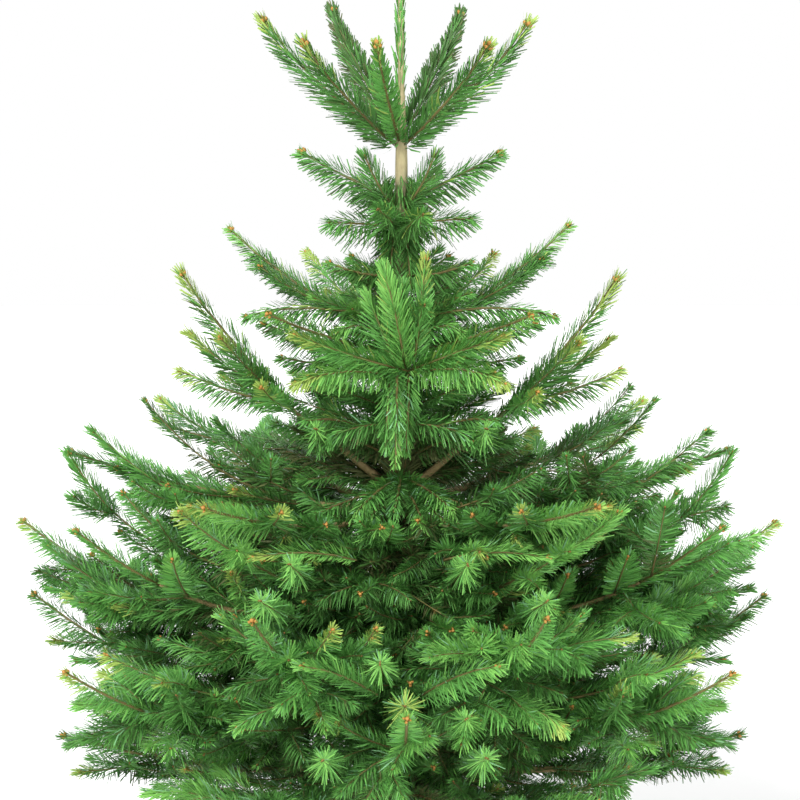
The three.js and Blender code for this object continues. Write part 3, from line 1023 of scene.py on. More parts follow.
class Grower:
    """The branching rule, run over the envelopes with one seeded stream for each left and right pair."""

    LOOSE_SHARE = 0.9
    CORE_SHARE = 0.6
    STREAM_STEP = 13
    STEM_LEVELS = np.arange(0.25, 0.95, 0.0085)
    LOW_ENDS, LOW_TIPS_END, LIMBS_END = 0.63, 0.66, 0.79
    LOBES_APART = 40 * MM
    COLLAR_APART = math.radians(14)
    FORK_CLEAR = math.radians(12)

    def __init__(self, habits: Habits, nodes: Sequence[str], seed: int) -> None:
        """Reads the envelopes; nothing has grown yet.

        Args:
            habits: the measures.
            nodes: the foliage nodes.
            seed: the first seed; every envelope adds its own number to it.
        """
        self.habits = habits
        self.depths = Depths()
        self.seed = seed
        self.growth = Growth()
        self.random = np.random.default_rng(seed)
        self.envelopes = {node: Envelope(node) for node in nodes}
        self.crown = Crown(self.envelopes.values(), self.LOOSE_SHARE)
        self.core = Crown(self.envelopes.values(), self.CORE_SHARE)
        self.hand = 1

    def grow(self) -> Growth:
        """Fills every envelope and the room between them."""
        for node, envelope in self.envelopes.items():
            pair = node.removesuffix("_left").removesuffix("_right")
            self.random = np.random.default_rng(self.seed + sum(map(ord, pair)) * self.STREAM_STEP)
            self.hand = -1 if node.endswith("_left") else 1
            tones = tone_rule(node)
            if node.startswith("collar"):
                self._collar(envelope, tones)
            elif node.startswith(("top_shoot", "stem_shoot")):
                self._one_year(envelope, tones)
            elif node == "leader_needles":
                self._leader(envelope, tones)
            elif node == "mass_2_upright":
                # the front fork, whose shoots are listed, and with them all other listed shoots
                self.growth.shoots.extend(placed.grown() for placed in PLACED_SHOOTS)
            else:
                self._bough(envelope, tones)
        self.random = np.random.default_rng(self.seed)
        self._on_stem()
        self._between_limbs()
        self._guided_branches()
        return self.growth

    # ---- small helpers

    def _spread(self, size: float) -> float:
        """A random number around zero."""
        return float(self.random.uniform(-size, size))

    def _add(self, *measures: object, **more: object) -> None:
        """Adds a shoot with the given fields."""
        self.growth.shoots.append(Shoot(*measures, **more))

    def _aside(self, ahead: np.ndarray, swing: float, lift: float) -> np.ndarray:
        """A direction turned sideways and then lifted, both in degrees."""
        flat = unit(np.cross(ahead, UP)) * self.hand
        over = unit(np.cross(np.cross(ahead, UP), ahead))
        level = math.cos(math.radians(swing)) * ahead - math.sin(math.radians(swing)) * flat
        return math.cos(math.radians(lift)) * level + math.sin(math.radians(lift)) * over

    # ---- one envelope

    def _axis(self, envelope: Envelope, base: np.ndarray, tip: np.ndarray, count: int = 12) -> Line:
        """The line through the middle of an envelope.

        Args:
            envelope: the solid.
            base: where the line starts.
            tip: where it ends.
            count: how many points.

        Returns:
            The line, at half height over the chord from base to tip.
        """
        points = [base]
        for share in np.linspace(0, 1, count)[1:-1]:
            place = base + (tip - base) * share
            height = envelope.middle_height(place)
            if height is not None:
                points.append(np.array([place[0], place[1], height]))
        points.append(tip)
        smooth = np.array(points)
        for _ in range(2):
            smooth[1:-1] = 0.25 * smooth[:-2] + 0.5 * smooth[1:-1] + 0.25 * smooth[2:]
        return Line(smooth)

    def _ends(self, envelope: Envelope) -> tuple[np.ndarray, np.ndarray]:
        """The inner end of an envelope, by the stem, and its tip."""
        base = envelope.foot(12 * MM)
        tip = envelope.points[np.argmax(np.linalg.norm(envelope.points - base, axis=1))]
        return base, tip

    def _one_year(self, envelope: Envelope, tones: ToneRule) -> None:
        """A single shoot from the stem to the envelope's tip."""
        base, tip = self._ends(envelope)
        line = self._axis(envelope, base, tip)
        end = line.length - TIP_ROOM * self.habits.needle
        line = Line(np.vstack([base * np.array([0.25, 0.25, 1.0]), line.part(0, end, 9).points]))
        high = envelope.node.startswith("top")
        dark, front = "top_shoot_back" in envelope.node, "top_shoot_front" in envelope.node
        if not high:
            rise = np.linspace(-0.6, 1, len(line.points))[:, None]
            line = Line(line.points + UP * self.habits.stem_shoot_lift * rise)
        elif tip[0] > 0:
            line = line.moved(-ACROSS * self.habits.top_draw)
        self._add(
            line, 2.5 * MM, 1.6 * MM, tones.pick(self.random, 1.0), Habit.UPRIGHT if high else Habit.HANGING,
            density=1.6 if dark else 1.0, needled_from=0.04, buds=5, tip_tone=tones.tip(self.random),
            needle=0.85 if front else 1.05 if high else 1.22, stout=1.3,
        )

    def _leader(self, envelope: Envelope, tones: ToneRule) -> None:
        """The needles pressed round the top of the stem."""
        low, high = envelope.span
        line = plumb(low, high - TIP_ROOM * self.habits.needle, 8)
        self._add(
            line, 4.4 * MM, 2.0 * MM, tones.pick(self.random, 1.0), Habit.PRESSED, density=0.5, buds=5,
            tip_tone=tones.tip(self.random), needle=0.75, stout=1.3,
        )

    def _collar(self, envelope: Envelope, tones: ToneRule) -> None:
        """A sleeve of needles round the stem, and a short shoot to each of the envelope's tips."""
        low, high = envelope.span
        radius = envelope.radii
        taken: list[float] = []
        for index in envelope.peaks(radius):
            tip = envelope.points[index]
            azimuth = math.atan2(tip[1], tip[0])
            apart = [abs(math.remainder(azimuth - other, math.tau)) for other in taken]
            if radius[index] < 0.6 * radius.max() or min(apart, default=math.pi) < self.COLLAR_APART:
                continue
            if tones.whorl == 2 and abs(azimuth + math.pi / 2) < self.FORK_CLEAR:
                continue
            taken.append(azimuth)
            inner = np.array([tip[0] * 0.3, tip[1] * 0.3, 0.0])
            inner[2] = envelope.middle_height(inner) or tip[2]
            start = np.array([tip[0] * 0.04, tip[1] * 0.04, inner[2] - 0.2 * abs(tip[2] - inner[2]) - 4 * MM])
            line = curve(start, inner, tip, 10)
            line = line.part(0, line.length - TIP_ROOM * self.habits.needle, 9)
            line = line.moved(UP * self.habits.collar_lift)
            if tones.whorl == 2:
                self._branch(envelope, line, 1, tones, tones.pick(self.random, 0.8))
                continue
            self._add(
                line, 1.7 * MM, 1.3 * MM, tones.pick(self.random, 0.8), Habit.HANGING, density=1.2, buds=3,
                tip_tone=tones.tip(self.random), needle=1.3,
            )
        stem = 11 * MM if low > 1.0 else 16 * MM
        self._add(plumb(high - 2 * MM, low - 4 * MM, 6), stem, stem, Tone.DEEP, Habit.UPRIGHT, density=3.6)

    def _bough(self, envelope: Envelope, tones: ToneRule) -> None:
        """A limb from the stem through its envelope, with its side shoots."""
        habits, node = self.habits, envelope.node
        rising = "rising" in node
        base, tip = self._ends(envelope)
        axis = self._axis(envelope, base, tip)
        bough = "bough" + node.removeprefix("mass")
        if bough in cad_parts:
            root = Envelope(bough).foot(9 * MM)
            start = root * np.array([0.5, 0.5, 1.0])
            bare = float(np.linalg.norm(base - start))
            line = Line(np.vstack([start, (root + base) / 2, axis.points]))
        else:
            start = base * np.array([0.3, 0.3, 1.0])
            bare = 0.12 * axis.length if tones.whorl > 2 else 0.0
            line = Line(np.vstack([start, axis.points]))
        share = np.hypot(line.points[:, 0], line.points[:, 1]) / math.hypot(*line.points[-1][:2])
        sag = habits.front_sag if node.startswith("mass_4_front") else habits.sags[tones.whorl] * (not rising)
        if rising:
            shift = UP * habits.rising_lift - unit(tip * (1, 1, 0)) * habits.rising_draw
            line = Line(line.points + shift * share[:, None])
        line = Line(line.points - UP * (sag * line.length * 4 * share * (1 - share))[:, None])
        line = line.part(0, line.length - TIP_ROOM * habits.needle, 16)
        year = habits.years[0] * tones.vigour * self.random.uniform(0.92, 1.1)
        last = max(line.length - year, 0.3 * line.length)
        thick = (5.0 + 0.6 * tones.whorl) * MM if tones.whorl > 2 else 4.6 * MM
        slim = habits.twig_radii[0]
        self.growth.limbs.append((line.part(0, last, 14), thick, slim * 1.3))
        older, newest = tones.pick(self.random, 0.2), tones.pick(self.random, 1.0)
        self._add(
            line.part(bare, last, 10), 0.0, 0.0, older, density=0.6, needled_from=0.05, fine=tones.whorl < 4
        )
        self._add(
            line.part(last, line.length, 7), slim * 1.3, slim, newest, buds=habits.buds[0],
            tip_tone=tones.tip(self.random), habit=Habit.UPRIGHT if rising else self._habit(),
        )
        self._lobes(envelope, line, bare, last, tones)
        self._fillers(line, bare, tones)

    def _lobes(self, envelope: Envelope, line: Line, bare: float, last: float, tones: ToneRule) -> None:
        """A side branch to every lobe of the envelope.

        Args:
            envelope: the solid.
            line: the limb.
            bare: the length without needles.
            last: where the last year's growth starts.
            tones: the greens.
        """
        start, end = line.points[0], line.points[-1]
        ahead = unit((end - start) * np.array([1, 1, 0]))
        side = np.array([-ahead[1], ahead[0], 0.0])
        offset = envelope.points - start
        along = offset @ ahead
        across = offset @ side
        reach = float((end - start) @ ahead)
        for sign in (self.hand, -self.hand):
            done: list[float] = []
            for index in envelope.peaks(across * sign):
                lateral = across[index] * sign
                place = along[index]
                if lateral < 1.4 * self.habits.needle or place > 0.97 * reach:
                    continue
                if any(abs(place - other) < self.LOBES_APART for other in done):
                    continue
                done.append(place)
                fork = place - lateral / math.tan(math.radians(self.habits.fork_angle))
                share = np.clip(fork / reach, 0.04, 0.95)
                root = line.at(float(np.clip(share * line.length, bare * 0.9, last)))
                tip = envelope.points[index]
                way = tip - root
                tip = tip - unit(way) * TIP_ROOM * self.habits.needle
                middle = root + 0.52 * (tip - root) + unit(ahead) * self._spread(0.05) * np.linalg.norm(way)
                middle = middle - UP * 0.07 * np.linalg.norm(way)
                tone = tones.pick(self.random, tones.light_of(tip))
                if not self._fills_window(tip, tip):
                    self._branch(envelope, curve(root, middle, tip, 9), 1, tones, tone)

    def _branch(self, room: Envelope | Crown, line: Line, order: int, tones: ToneRule, tone: Tone) -> None:
        """A side branch: its older part, its last year's growth, and the shoots at each year's fork.

        Args:
            room: what it may fill.
            line: the branch's line.
            order: 1 on a limb, 2 on a branch of a limb, and so on.
            tones: the greens.
            tone: the spray's own green.
        """
        habits, depths, low = self.habits, self.depths, tones.whorl > 3
        depth = tones.depth_of(line.points[-1])
        # the darkest greens stay deep in the crown, for both its older inner needles and painted shade
        if tone is Tone.INNER and depth > depths.inner_ends:
            tone = Tone.OLD
        if tone is Tone.OLD and depth > depths.old_ends:
            tone = Tone.DEEP
        hidden = low and tone in (Tone.INNER, Tone.OLD) and depth < depths.hidden_ends
        density, stout = (depths.hidden_density, depths.hidden_stout) if hidden else (1.0, 1.0)
        year = habits.years[order] * tones.vigour * self.random.uniform(0.85, 1.12)
        fine = depth > (depths.fine_from_low if low else depths.fine_from_high) + 0.05 * order
        radius = habits.twig_radii[order]
        longer = depths.long_needle if depth > depths.long_from and not hidden else 1.0
        buds = 0 if low and (depth < depths.budded_from or hidden) else habits.buds[order]
        last = max(line.length - year, 0.0)
        if last > 0.22 * line.length:
            self._add(
                line.part(0, last, 6), radius + line.length * 0.006, radius, tones.older(tone), self._habit(),
                density=0.85 * density, fine=fine, stout=stout,
            )
        else:
            last = 0.0
        self._add(
            line.part(last, line.length, 5), radius, radius * 0.75, tone, self._habit(), buds=buds,
            needle=longer, tip_tone=tones.tip(self.random) if order < 3 else None, fine=fine,
            density=density * longer, stout=stout,
        )
        fork = last
        while order < 3 and fork > 0.1 * line.length:
            ahead, root = line.heading(fork), line.at(fork)
            for sign in (1, -1):
                way = self._aside(ahead, sign * (habits.fork_angle + self._spread(7)), self._spread(16))
                wanted = habits.side_share * (line.length - fork) * self.random.uniform(0.85, 1.15)
                self._shoot_if_room(room, root, way, wanted, order + 1, tones, tone)
            fork -= year * self.random.uniform(0.5, 0.68)

    def _habit(self) -> Habit:
        """How the needles of the next shoot stand."""
        return Habit.HANGING if self.random.random() < 0.4 else Habit.SPREAD

    def _shoot_if_room(
        self, room: Envelope | Crown, root: np.ndarray, way: np.ndarray, wanted: float, order: int,
        tones: ToneRule, tone: Tone,
    ) -> None:
        """Grows a branch where there is room for it.

        Args:
            room: what it may fill.
            root: where it leaves.
            way: its unit direction.
            wanted: the length it would like.
            order: its order.
            tones: the greens.
            tone: the green of the branch that carries it.
        """
        free = room.room(root, way, wanted + self.habits.needle)
        length = min(wanted, free - 0.3 * self.habits.needle)
        if length < self.habits.shortest or self._fills_window(root, root + way * length):
            return
        if self.random.random() < 0.3:
            tone = tones.pick(self.random, tones.light_of(root))
        droop = 0.1 if tones.whorl > 3 and root[1] < -0.2 else self.random.uniform(-0.14, 0.0)
        tip = root + way * length - UP * length * droop
        middle = root + way * length * 0.5 + UP * length * droop * 0.8
        self._branch(room, curve(root, middle, tip, 6), order, tones, tone)

    def _fills_window(self, root: np.ndarray, tip: np.ndarray) -> bool:
        """Whether a loose shoot would stand in one of the windows, seen from the camera."""
        points = root + np.linspace(0, 1, 5)[:, None] * (tip - root)
        nearer = Studio.distance / (Studio.distance + points[:, 1])
        across = np.abs(points[:, 0]) * nearer
        height = Studio.height + (points[:, 2] - Studio.height) * nearer
        return any(window.holds(across, height, points[:, 1]) for window in WINDOWS)

    def _fillers(self, line: Line, bare: float, tones: ToneRule) -> None:
        """Shoots above and below a limb, which thicken its spray and close the gaps low in the crown.

        Args:
            line: the limb.
            bare: the length without needles.
            tones: the greens.
        """
        low = tones.whorl > 3
        apart = (34 if low else 46) * MM
        count = int((line.length - bare) / apart)
        for index in range(count):
            at = bare + (line.length * 0.8 - bare) * (index + self.random.uniform(0.1, 0.9)) / count
            sign = 1 if self.random.random() < 0.5 else -1
            lift = self.random.uniform(4, 34) if self.random.random() < 0.42 else self.random.uniform(-32, 4)
            if not low:
                lift = sign * self.random.uniform(6, 22 if tones.whorl == 2 else 34)
            swing = self.random.choice((-1, 1)) * self.random.uniform(22, 58)
            way = self._aside(line.heading(at), swing, lift)
            wanted = self.random.uniform(100, 195) * MM if low else self.random.uniform(80, 130) * MM
            root = line.at(at)
            tone = tones.pick(self.random, tones.light_of(root))
            self._shoot_if_room(self.crown if low else self.core, root, way, wanted, 2, tones, tone)

    def _guided_branches(self) -> None:
        """Branches that turn up at both sides of the crown, and those that stand out in front."""
        side = ToneRule(4, (Tone.DEEP, Tone.MID), (Tone.DEEP,), (Tone.MID, None), 0.5)
        front = ToneRule(4, (Tone.MID, Tone.FRESH), (Tone.MID, Tone.DEEP), (Tone.YOUNG, Tone.FRESH), 0.5)
        for self.hand in (1, -1):
            for table, tones in ((SIDE_BRANCHES, side), (FRONT_BRANCHES, front)):
                for points in table:
                    line = curve(*(np.array(point) * MM * (self.hand, 1, 1) for point in points), 10)
                    self._branch(self.crown, line, 1, tones, tones.pick(self.random, 1.0))

    def _between_limbs(self) -> None:
        """Branches of the limbs' inner lengths, which close the crown at both sides."""
        tones = ToneRule(5, (Tone.OLD, Tone.DEEP), (Tone.OLD, Tone.DEEP), (None,), 0.55)
        for index in range(76):
            azimuth = math.radians(self._spread(62) + 180.0 * (index % 2))
            level = 0.3 + 0.42 * ((index * 0.618) % 1.0)
            out = outward(azimuth)
            start = self.random.uniform(0.1, 0.26)
            length = self.random.uniform(0.13, 0.22)
            root = out * start + UP * level
            way = self._aside(out, self._spread(40), self.random.uniform(-6, 30))
            self._shoot_if_room(self.crown, root, way, length, 2, tones, tones.pick(self.random, 0.6))

    def _on_stem(self) -> None:
        """Loose branches on the stem, long and dark low in the crown, and shorter and fresher above."""
        shade, shadow = (Tone.DEEP, Tone.DEEP, Tone.MID, Tone.OLD), (Tone.OLD, Tone.OLD, Tone.INNER)
        low = ToneRule(5, shade, shadow, (None,), 0.55)
        high = ToneRule(3, (Tone.MID, Tone.FRESH), (Tone.MID, Tone.DEEP), (Tone.FRESH, None), 0.3)
        back = ToneRule(3, (Tone.DEEP, Tone.MID), (Tone.INNER, Tone.DEEP), (None,), 0.3)
        for index, level in enumerate(self.STEM_LEVELS):
            azimuth = math.radians(GOLDEN_TURN * index)
            below = level < self.LOW_ENDS
            if below and index % 4 == 0:
                azimuth = math.radians(-90 + self._spread(34))
            out = outward(azimuth)
            if not below and out[1] < -0.2 and level < self.LIMBS_END:
                continue
            behind = not below and out[1] > 0 and level < 0.9
            length = self.random.uniform(*((0.16, 0.42) if below else (0.07, 0.16 if behind else 0.14)))
            rise = self.random.uniform(-0.1, 0.35) * length
            if below:
                rise = min(rise, self.LOW_TIPS_END - level)
            root = out * 6 * MM + UP * level
            tip = root + out * length + UP * rise
            line = curve(root, (root + tip) / 2 - UP * 0.08 * length, tip, 8)
            tones = low if below else back if behind else high
            light = 1.0 if below and out[1] < -0.5 else 0.4
            self._branch(self.crown, line, 1 if below else 2, tones, tones.pick(self.random, light))
        self._ring(np.linspace(-8, 188, 15), 0.68, (0.13, 0.19), back)
        self._ring(np.linspace(-30, 210, 17), 0.9, (0.07, 0.1), back)

    def _ring(
        self, azimuths: np.ndarray, level: float, lengths: tuple[float, float], tones: ToneRule
    ) -> None:
        """Branches round the back of the stem, at three levels in turn.

        Args:
            azimuths: where they point, in degrees.
            level: the lowest level.
            lengths: the shortest and the longest.
            tones: the greens.
        """
        for index, azimuth in enumerate(azimuths):
            out = outward(math.radians(azimuth))
            length = self.random.uniform(*lengths)
            root = out * 6 * MM + UP * (level + 0.035 * (index % 3))
            tip = root + out * length + UP * self.random.uniform(0.02, 0.07)
            line = curve(root, (root + tip) / 2, tip, 8)
            self._branch(self.crown, line, 2, tones, tones.pick(self.random, 0.6))


# ---------------------------------------------------------------- joined meshes


def shown(name: str, mesh: bpy.types.Mesh, material: bpy.types.Material) -> bpy.types.Object:
    """Puts a mesh in the scene as an object at the origin.

    Args:
        name: the object's name.
        mesh: its mesh.
        material: its material.

    Returns:
        The object.
    """
    mesh.materials.append(material)
    thing = bpy.data.objects.new(name, mesh)
    bpy.context.scene.collection.objects.link(thing)
    return thing


class Heap:
    """Corners and faces of many small things, gathered into one mesh."""

    def __init__(self) -> None:
        """Starts empty."""
        self.corners: list[np.ndarray] = []
        self.faces: dict[int, list[np.ndarray]] = {3: [], 4: []}
        self.count = 0
        self.triangles = 0

    def add(self, corners: np.ndarray, faces: Iterable[np.ndarray]) -> None:
        """Adds things that share one set of corners.

        Args:
            corners: array of points.
            faces: arrays of triangles or quads that index those points.
        """
        self.corners.append(corners)
        for block in faces:
            self.faces[block.shape[1]].append(block + self.count)
            self.triangles += len(block) * (block.shape[1] - 2)
        self.count += len(corners)

    def make(self, name: str, material: bpy.types.Material) -> bpy.types.Object:
        """Turns the heap into a smooth object at the origin.

        Args:
            name: the object's name.
            material: its material.

        Returns:
            The object.
        """
        mesh = bpy.data.meshes.new(name)
        blocks = [np.vstack(self.faces[size]) for size in (3, 4) if self.faces[size]]
        corners = np.vstack(self.corners).astype(np.float32)
        mesh.vertices.add(len(corners))
        mesh.vertices.foreach_set("co", corners.ravel())
        loops = np.concatenate([block.ravel() for block in blocks]).astype(np.int32)
        sizes = np.concatenate([np.full(len(block), block.shape[1]) for block in blocks]).astype(np.int32)
        starts = np.concatenate([[0], np.cumsum(sizes)[:-1]]).astype(np.int32)
        mesh.loops.add(len(loops))
        mesh.loops.foreach_set("vertex_index", loops)
        mesh.polygons.add(len(sizes))
        mesh.polygons.foreach_set("loop_start", starts)
        mesh.update(calc_edges=True)
        mesh.validate()
        mesh.shade_smooth()
        return shown(name, mesh, material)


@dataclass
class NeedleWork:
    """Needles of all shoots, joined for each green, in as many pieces as its limit of triangles asks for.

    Needles stand in ranks round their shoot. Those on top lean forward by the swing, those below lean back
    by it, and all close up at a budded end. Those of the underside are parted beyond an angle from the top.
    Scattered needles, more of them on top of a shoot, take a paler green as painted glints: a silver-green
    low down, and the young green above.
    """

    habits: Habits
    per_metre: float = 1700.0
    width: float = 2.0 * MM
    ranks: int = 10
    ring: int = 8
    limit: int = 190_000
    seed: int = 71
    swing: float = 8.0
    closing: float = 22.0
    parting: float = 126.0
    hanging_parting: float = 150.0
    painted_glint_below: float = 0.78
    painted_glint_share: float = 0.05
    young_painted_glint_share: float = 0.035

    def __post_init__(self) -> None:
        """Starts the stream and the heaps."""
        self.random = np.random.default_rng(self.seed)
        self.heaps: dict[Tone, list[Heap]] = {tone: [Heap()] for tone in Tone}

    def _heap(self, tone: Tone) -> Heap:
        """The heap of a green that still has room."""
        if self.heaps[tone][-1].triangles > self.limit:
            self.heaps[tone].append(Heap())
        return self.heaps[tone][-1]

    def dress(self, shoot: Shoot) -> None:
        """Covers one shoot with needles: a spiral along it and, at a budded end, a ring round the buds.

        Args:
            shoot: the shoot.
        """
        line, random, needle = shoot.line, self.random, self.habits.needle * shoot.needle
        start = shoot.needled_from * line.length
        count = int((line.length - start) * self.per_metre * shoot.density)
        if count < 3:
            return
        order = np.arange(count)
        distance = start + (line.length - start) * (order + 0.5 + random.uniform(-0.2, 0.2, count)) / count
        even = np.mod(order * GOLDEN_TURN + random.uniform(0, 360), 360.0)
        turn = np.round(even * self.ranks / 360.0) * 360.0 / self.ranks
        turn = self._parted(turn - 180.0, shoot.habit) + random.normal(0, 8, count)
        share = (distance - start) / (line.length - start)
        size = needle * (0.72 + 0.3 * np.sin(np.pi * np.clip(share * 0.86 + 0.1, 0, 1)))
        size = size * (1.0 - 0.09 * np.cos(np.radians(turn)))
        if shoot.buds:
            size = size * (1.0 - 0.38 * np.clip((share - 0.5) / 0.5, 0, 1))
        lean = self._lean(shoot, turn, share)
        if shoot.buds:
            ring = self.ring + shoot.buds
            distance = np.concatenate([distance, line.length - random.uniform(0, 6 * MM, ring)])
            round_it = np.linspace(-180, 180, ring, endpoint=False)
            turn = np.concatenate([turn, round_it + random.uniform(-9, 9, ring)])
            size = np.concatenate([size, needle * random.uniform(0.42, 0.58, ring)])
            lean = np.concatenate([lean, random.uniform(20, 46, ring)])
        self._plant(shoot, distance, turn, size, lean)

    def _lean(self, shoot: Shoot, turn: np.ndarray, share: np.ndarray) -> np.ndarray:
        """The angle between each needle and its shoot, in degrees.

        Args:
            shoot: the shoot.
            turn: where round the shoot each needle stands, 0 on top.
            share: where along it, from 0 to 1.

        Returns:
            The angles, steeper below than above and closing towards the tip.
        """
        above = np.cos(np.radians(turn))
        swing = self.swing if shoot.habit in (Habit.UPRIGHT, Habit.SPREAD, Habit.HANGING) else 0.0
        closing = self.closing * np.clip((share - 0.45) / 0.55, 0, 1) if shoot.buds and swing else 0.0
        ragged = 9.0 if shoot.habit is Habit.STAR else 4.0
        return shoot.habit.value.lean - swing * above - closing + self.random.normal(0, ragged, len(turn))

    def _parted(self, turn: np.ndarray, habit: Habit) -> np.ndarray:
        """Moves the needles of the underside out to both sides, as such a fir's lie."""
        if habit in (Habit.PRESSED, Habit.UPRIGHT, Habit.STAR):
            return turn
        limit = self.hanging_parting if habit is Habit.HANGING else self.parting
        below = np.abs(turn) > limit
        return np.where(below, np.sign(turn) * (limit - (np.abs(turn) - limit) * 0.4), turn)

    def _dealt(self, shoot: Shoot, share: np.ndarray, above: np.ndarray) -> Iterable[tuple[Tone, np.ndarray]]:
        """Deals the greens of a spray to its needles, the paler ones rather above as painted light and the
        darker ones rather below as painted shade.

        Args:
            shoot: the shoot.
            share: where along it each needle stands, from 0 to 1.
            above: 1 for a needle on top of the shoot, -1 for one below it.

        Returns:
            Each green that is used, with which needles take it.
        """
        random = self.random.random(len(share))
        tones = np.full(len(share), STEPS.index(shoot.tone))
        # a step paler or darker at random, paler more often on top of the shoot and darker more often below
        # it, as painted light and shade
        paler_at_random_and_lit_on_top = random > 0.82 - 0.14 * above
        darker_at_random_and_shaded_below = random < 0.16 - 0.14 * above
        shaded = self.random.random(len(share)) < 0.1
        tones = np.clip(tones + paler_at_random_and_lit_on_top - darker_at_random_and_shaded_below - shaded, 0, STEPS.index(Tone.FRESH))
        if shoot.tip_tone is not None:
            start = 0.66 if shoot.stout < 1.1 else 0.78
            newest = self.random.random(len(share)) < np.clip((share - start) / 0.26, 0, 0.85)
            tones[newest] = STEPS.index(shoot.tip_tone)
        if shoot.tone not in (Tone.INNER, Tone.OLD):
            # scattered needles, more of them on top of the shoot, take a paler green as painted glints: the
            # silver-green low down, the young green above
            low = shoot.line.points[-1][2] < self.painted_glint_below
            other, part = (Tone.PAINTED_GLINT, self.painted_glint_share) if low else (Tone.YOUNG, self.young_painted_glint_share)
            tones[self.random.random(len(share)) < part * (1.0 + 1.2 * above)] = STEPS.index(other)
        return [(STEPS[step], tones == step) for step in np.unique(tones)]

    def _plant(
        self, shoot: Shoot, distance: np.ndarray, turn: np.ndarray, size: np.ndarray, lean: np.ndarray
    ) -> None:
        """Makes the needles' corners and puts them in the heaps of their greens.

        Args:
            shoot: the shoot.
            distance: how far along it each needle stands.
            turn: where round it, in degrees, 0 on top.
            size: lengths in metres.
            lean: degrees off the shoot.
        """
        line, random = shoot.line, self.random
        count = len(distance)
        foot = line.at(distance)
        ahead = line.heading(distance)
        upright = np.abs(ahead[:, 2]) > 0.96
        reference = np.where(upright[:, None], np.array([0.0, 1.0, 0.0]), UP)
        flat = unit(np.cross(ahead, reference))
        over = unit(np.cross(flat, ahead))
        around = np.radians(turn)[:, None]
        outward = unit(np.sin(around) * flat + np.cos(around) * over)
        radius = shoot.root_radius + (shoot.tip_radius - shoot.root_radius) * (distance / line.length)
        foot = foot + outward * radius[:, None]
        angle = np.radians(lean)[:, None]
        way = np.cos(angle) * ahead + np.sin(angle) * outward
        stance = shoot.habit.value
        flare = np.clip(0.4 + np.abs(np.sin(around)), 0, 1) if shoot.habit is Habit.HANGING else 1.0
        bend = stance.ahead * ahead + stance.up * UP * flare
        bend = bend + random.normal(0, 0.09, (count, 3))
        facing = 0.55 * over + 0.6 * outward + 0.26 * random.normal(0, 1, (count, 3))
        across = unit(np.cross(way, facing))
        stout = 0.8 if shoot.habit is Habit.STAR else shoot.stout
        half = (0.5 * self.width * stout * random.uniform(0.85, 1.15, count))[:, None]
        size = (size * random.uniform(0.92, 1.06, count))[:, None]

        def at(share: float) -> np.ndarray:
            """The middle of each needle at a share of its length."""
            return foot + size * (share * way + 0.5 * share * share * bend)

        rows = self._dealt(shoot, distance / line.length, np.cos(np.radians(turn)))
        if shoot.fine:
            widths = ((0.4, -1.0), (0.4, 1.0), (1.0, -0.6), (1.0, 0.6))
            corners = np.stack([foot, *(at(share) + wide * across * half for share, wide in widths)], axis=1)
            shapes = (np.array([[0, 2, 1]]), np.array([[1, 2, 4, 3]]))
        else:
            beside = across * half * 1.05
            corners = np.stack([foot, at(0.5) + beside, at(1.0), at(0.5) - beside], axis=1)
            shapes = (np.array([[0, 1, 2, 3]]),)
        for tone, mask in rows:
            chosen = corners[mask]
            each = corners.shape[1]
            offsets = (np.arange(len(chosen)) * each)[:, None, None]
            blocks = [(shape[None] + offsets).reshape(-1, shape.shape[1]) for shape in shapes]
            self._heap(tone).add(chosen.reshape(-1, 3), blocks)

    def make(self) -> list[bpy.types.Object]:
        """The joined needle pieces."""
        made = []
        for tone, heaps in self.heaps.items():
            material = tone.value.make()
            for number, heap in enumerate(heaps, start=1):
                if heap.count == 0:
                    continue
                piece = heap.make(f"{tone.value.name}_{number}", material)
                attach(piece, "root")
                tone.slot
                log.info("%s: %d triangles", piece.name, heap.triangles)
                made.append(piece)
        return made


def fan(hub: int, ring: int, sides: int, inward: bool = False) -> np.ndarray:
    """Triangles from a hub to a ring of corners.

    Args:
        hub: the hub's corner.
        ring: the ring's first corner.
        sides: corners in the ring.
        inward: whether they turn the other way round.

    Returns:
        One triangle for each side.
    """
    here, there = ring + np.arange(sides), ring + (np.arange(sides) + 1) % sides
    rim = (there, here) if inward else (here, there)
    return np.stack([np.full(sides, hub), *rim], axis=1)


def belt(ring: int, sides: int) -> np.ndarray:
    """Quads from a ring of corners, given by its first, to the ring after it."""
    here, there = ring + np.arange(sides), ring + (np.arange(sides) + 1) % sides
    return np.stack([here, there, there + sides, here + sides], axis=1)


def square_to(way: np.ndarray) -> tuple[np.ndarray, np.ndarray]:
    """Two directions square to a way and to each other."""
    flat = unit(np.cross(way, UP if abs(way[2]) < 0.9 else ACROSS))
    return flat, np.cross(flat, way)


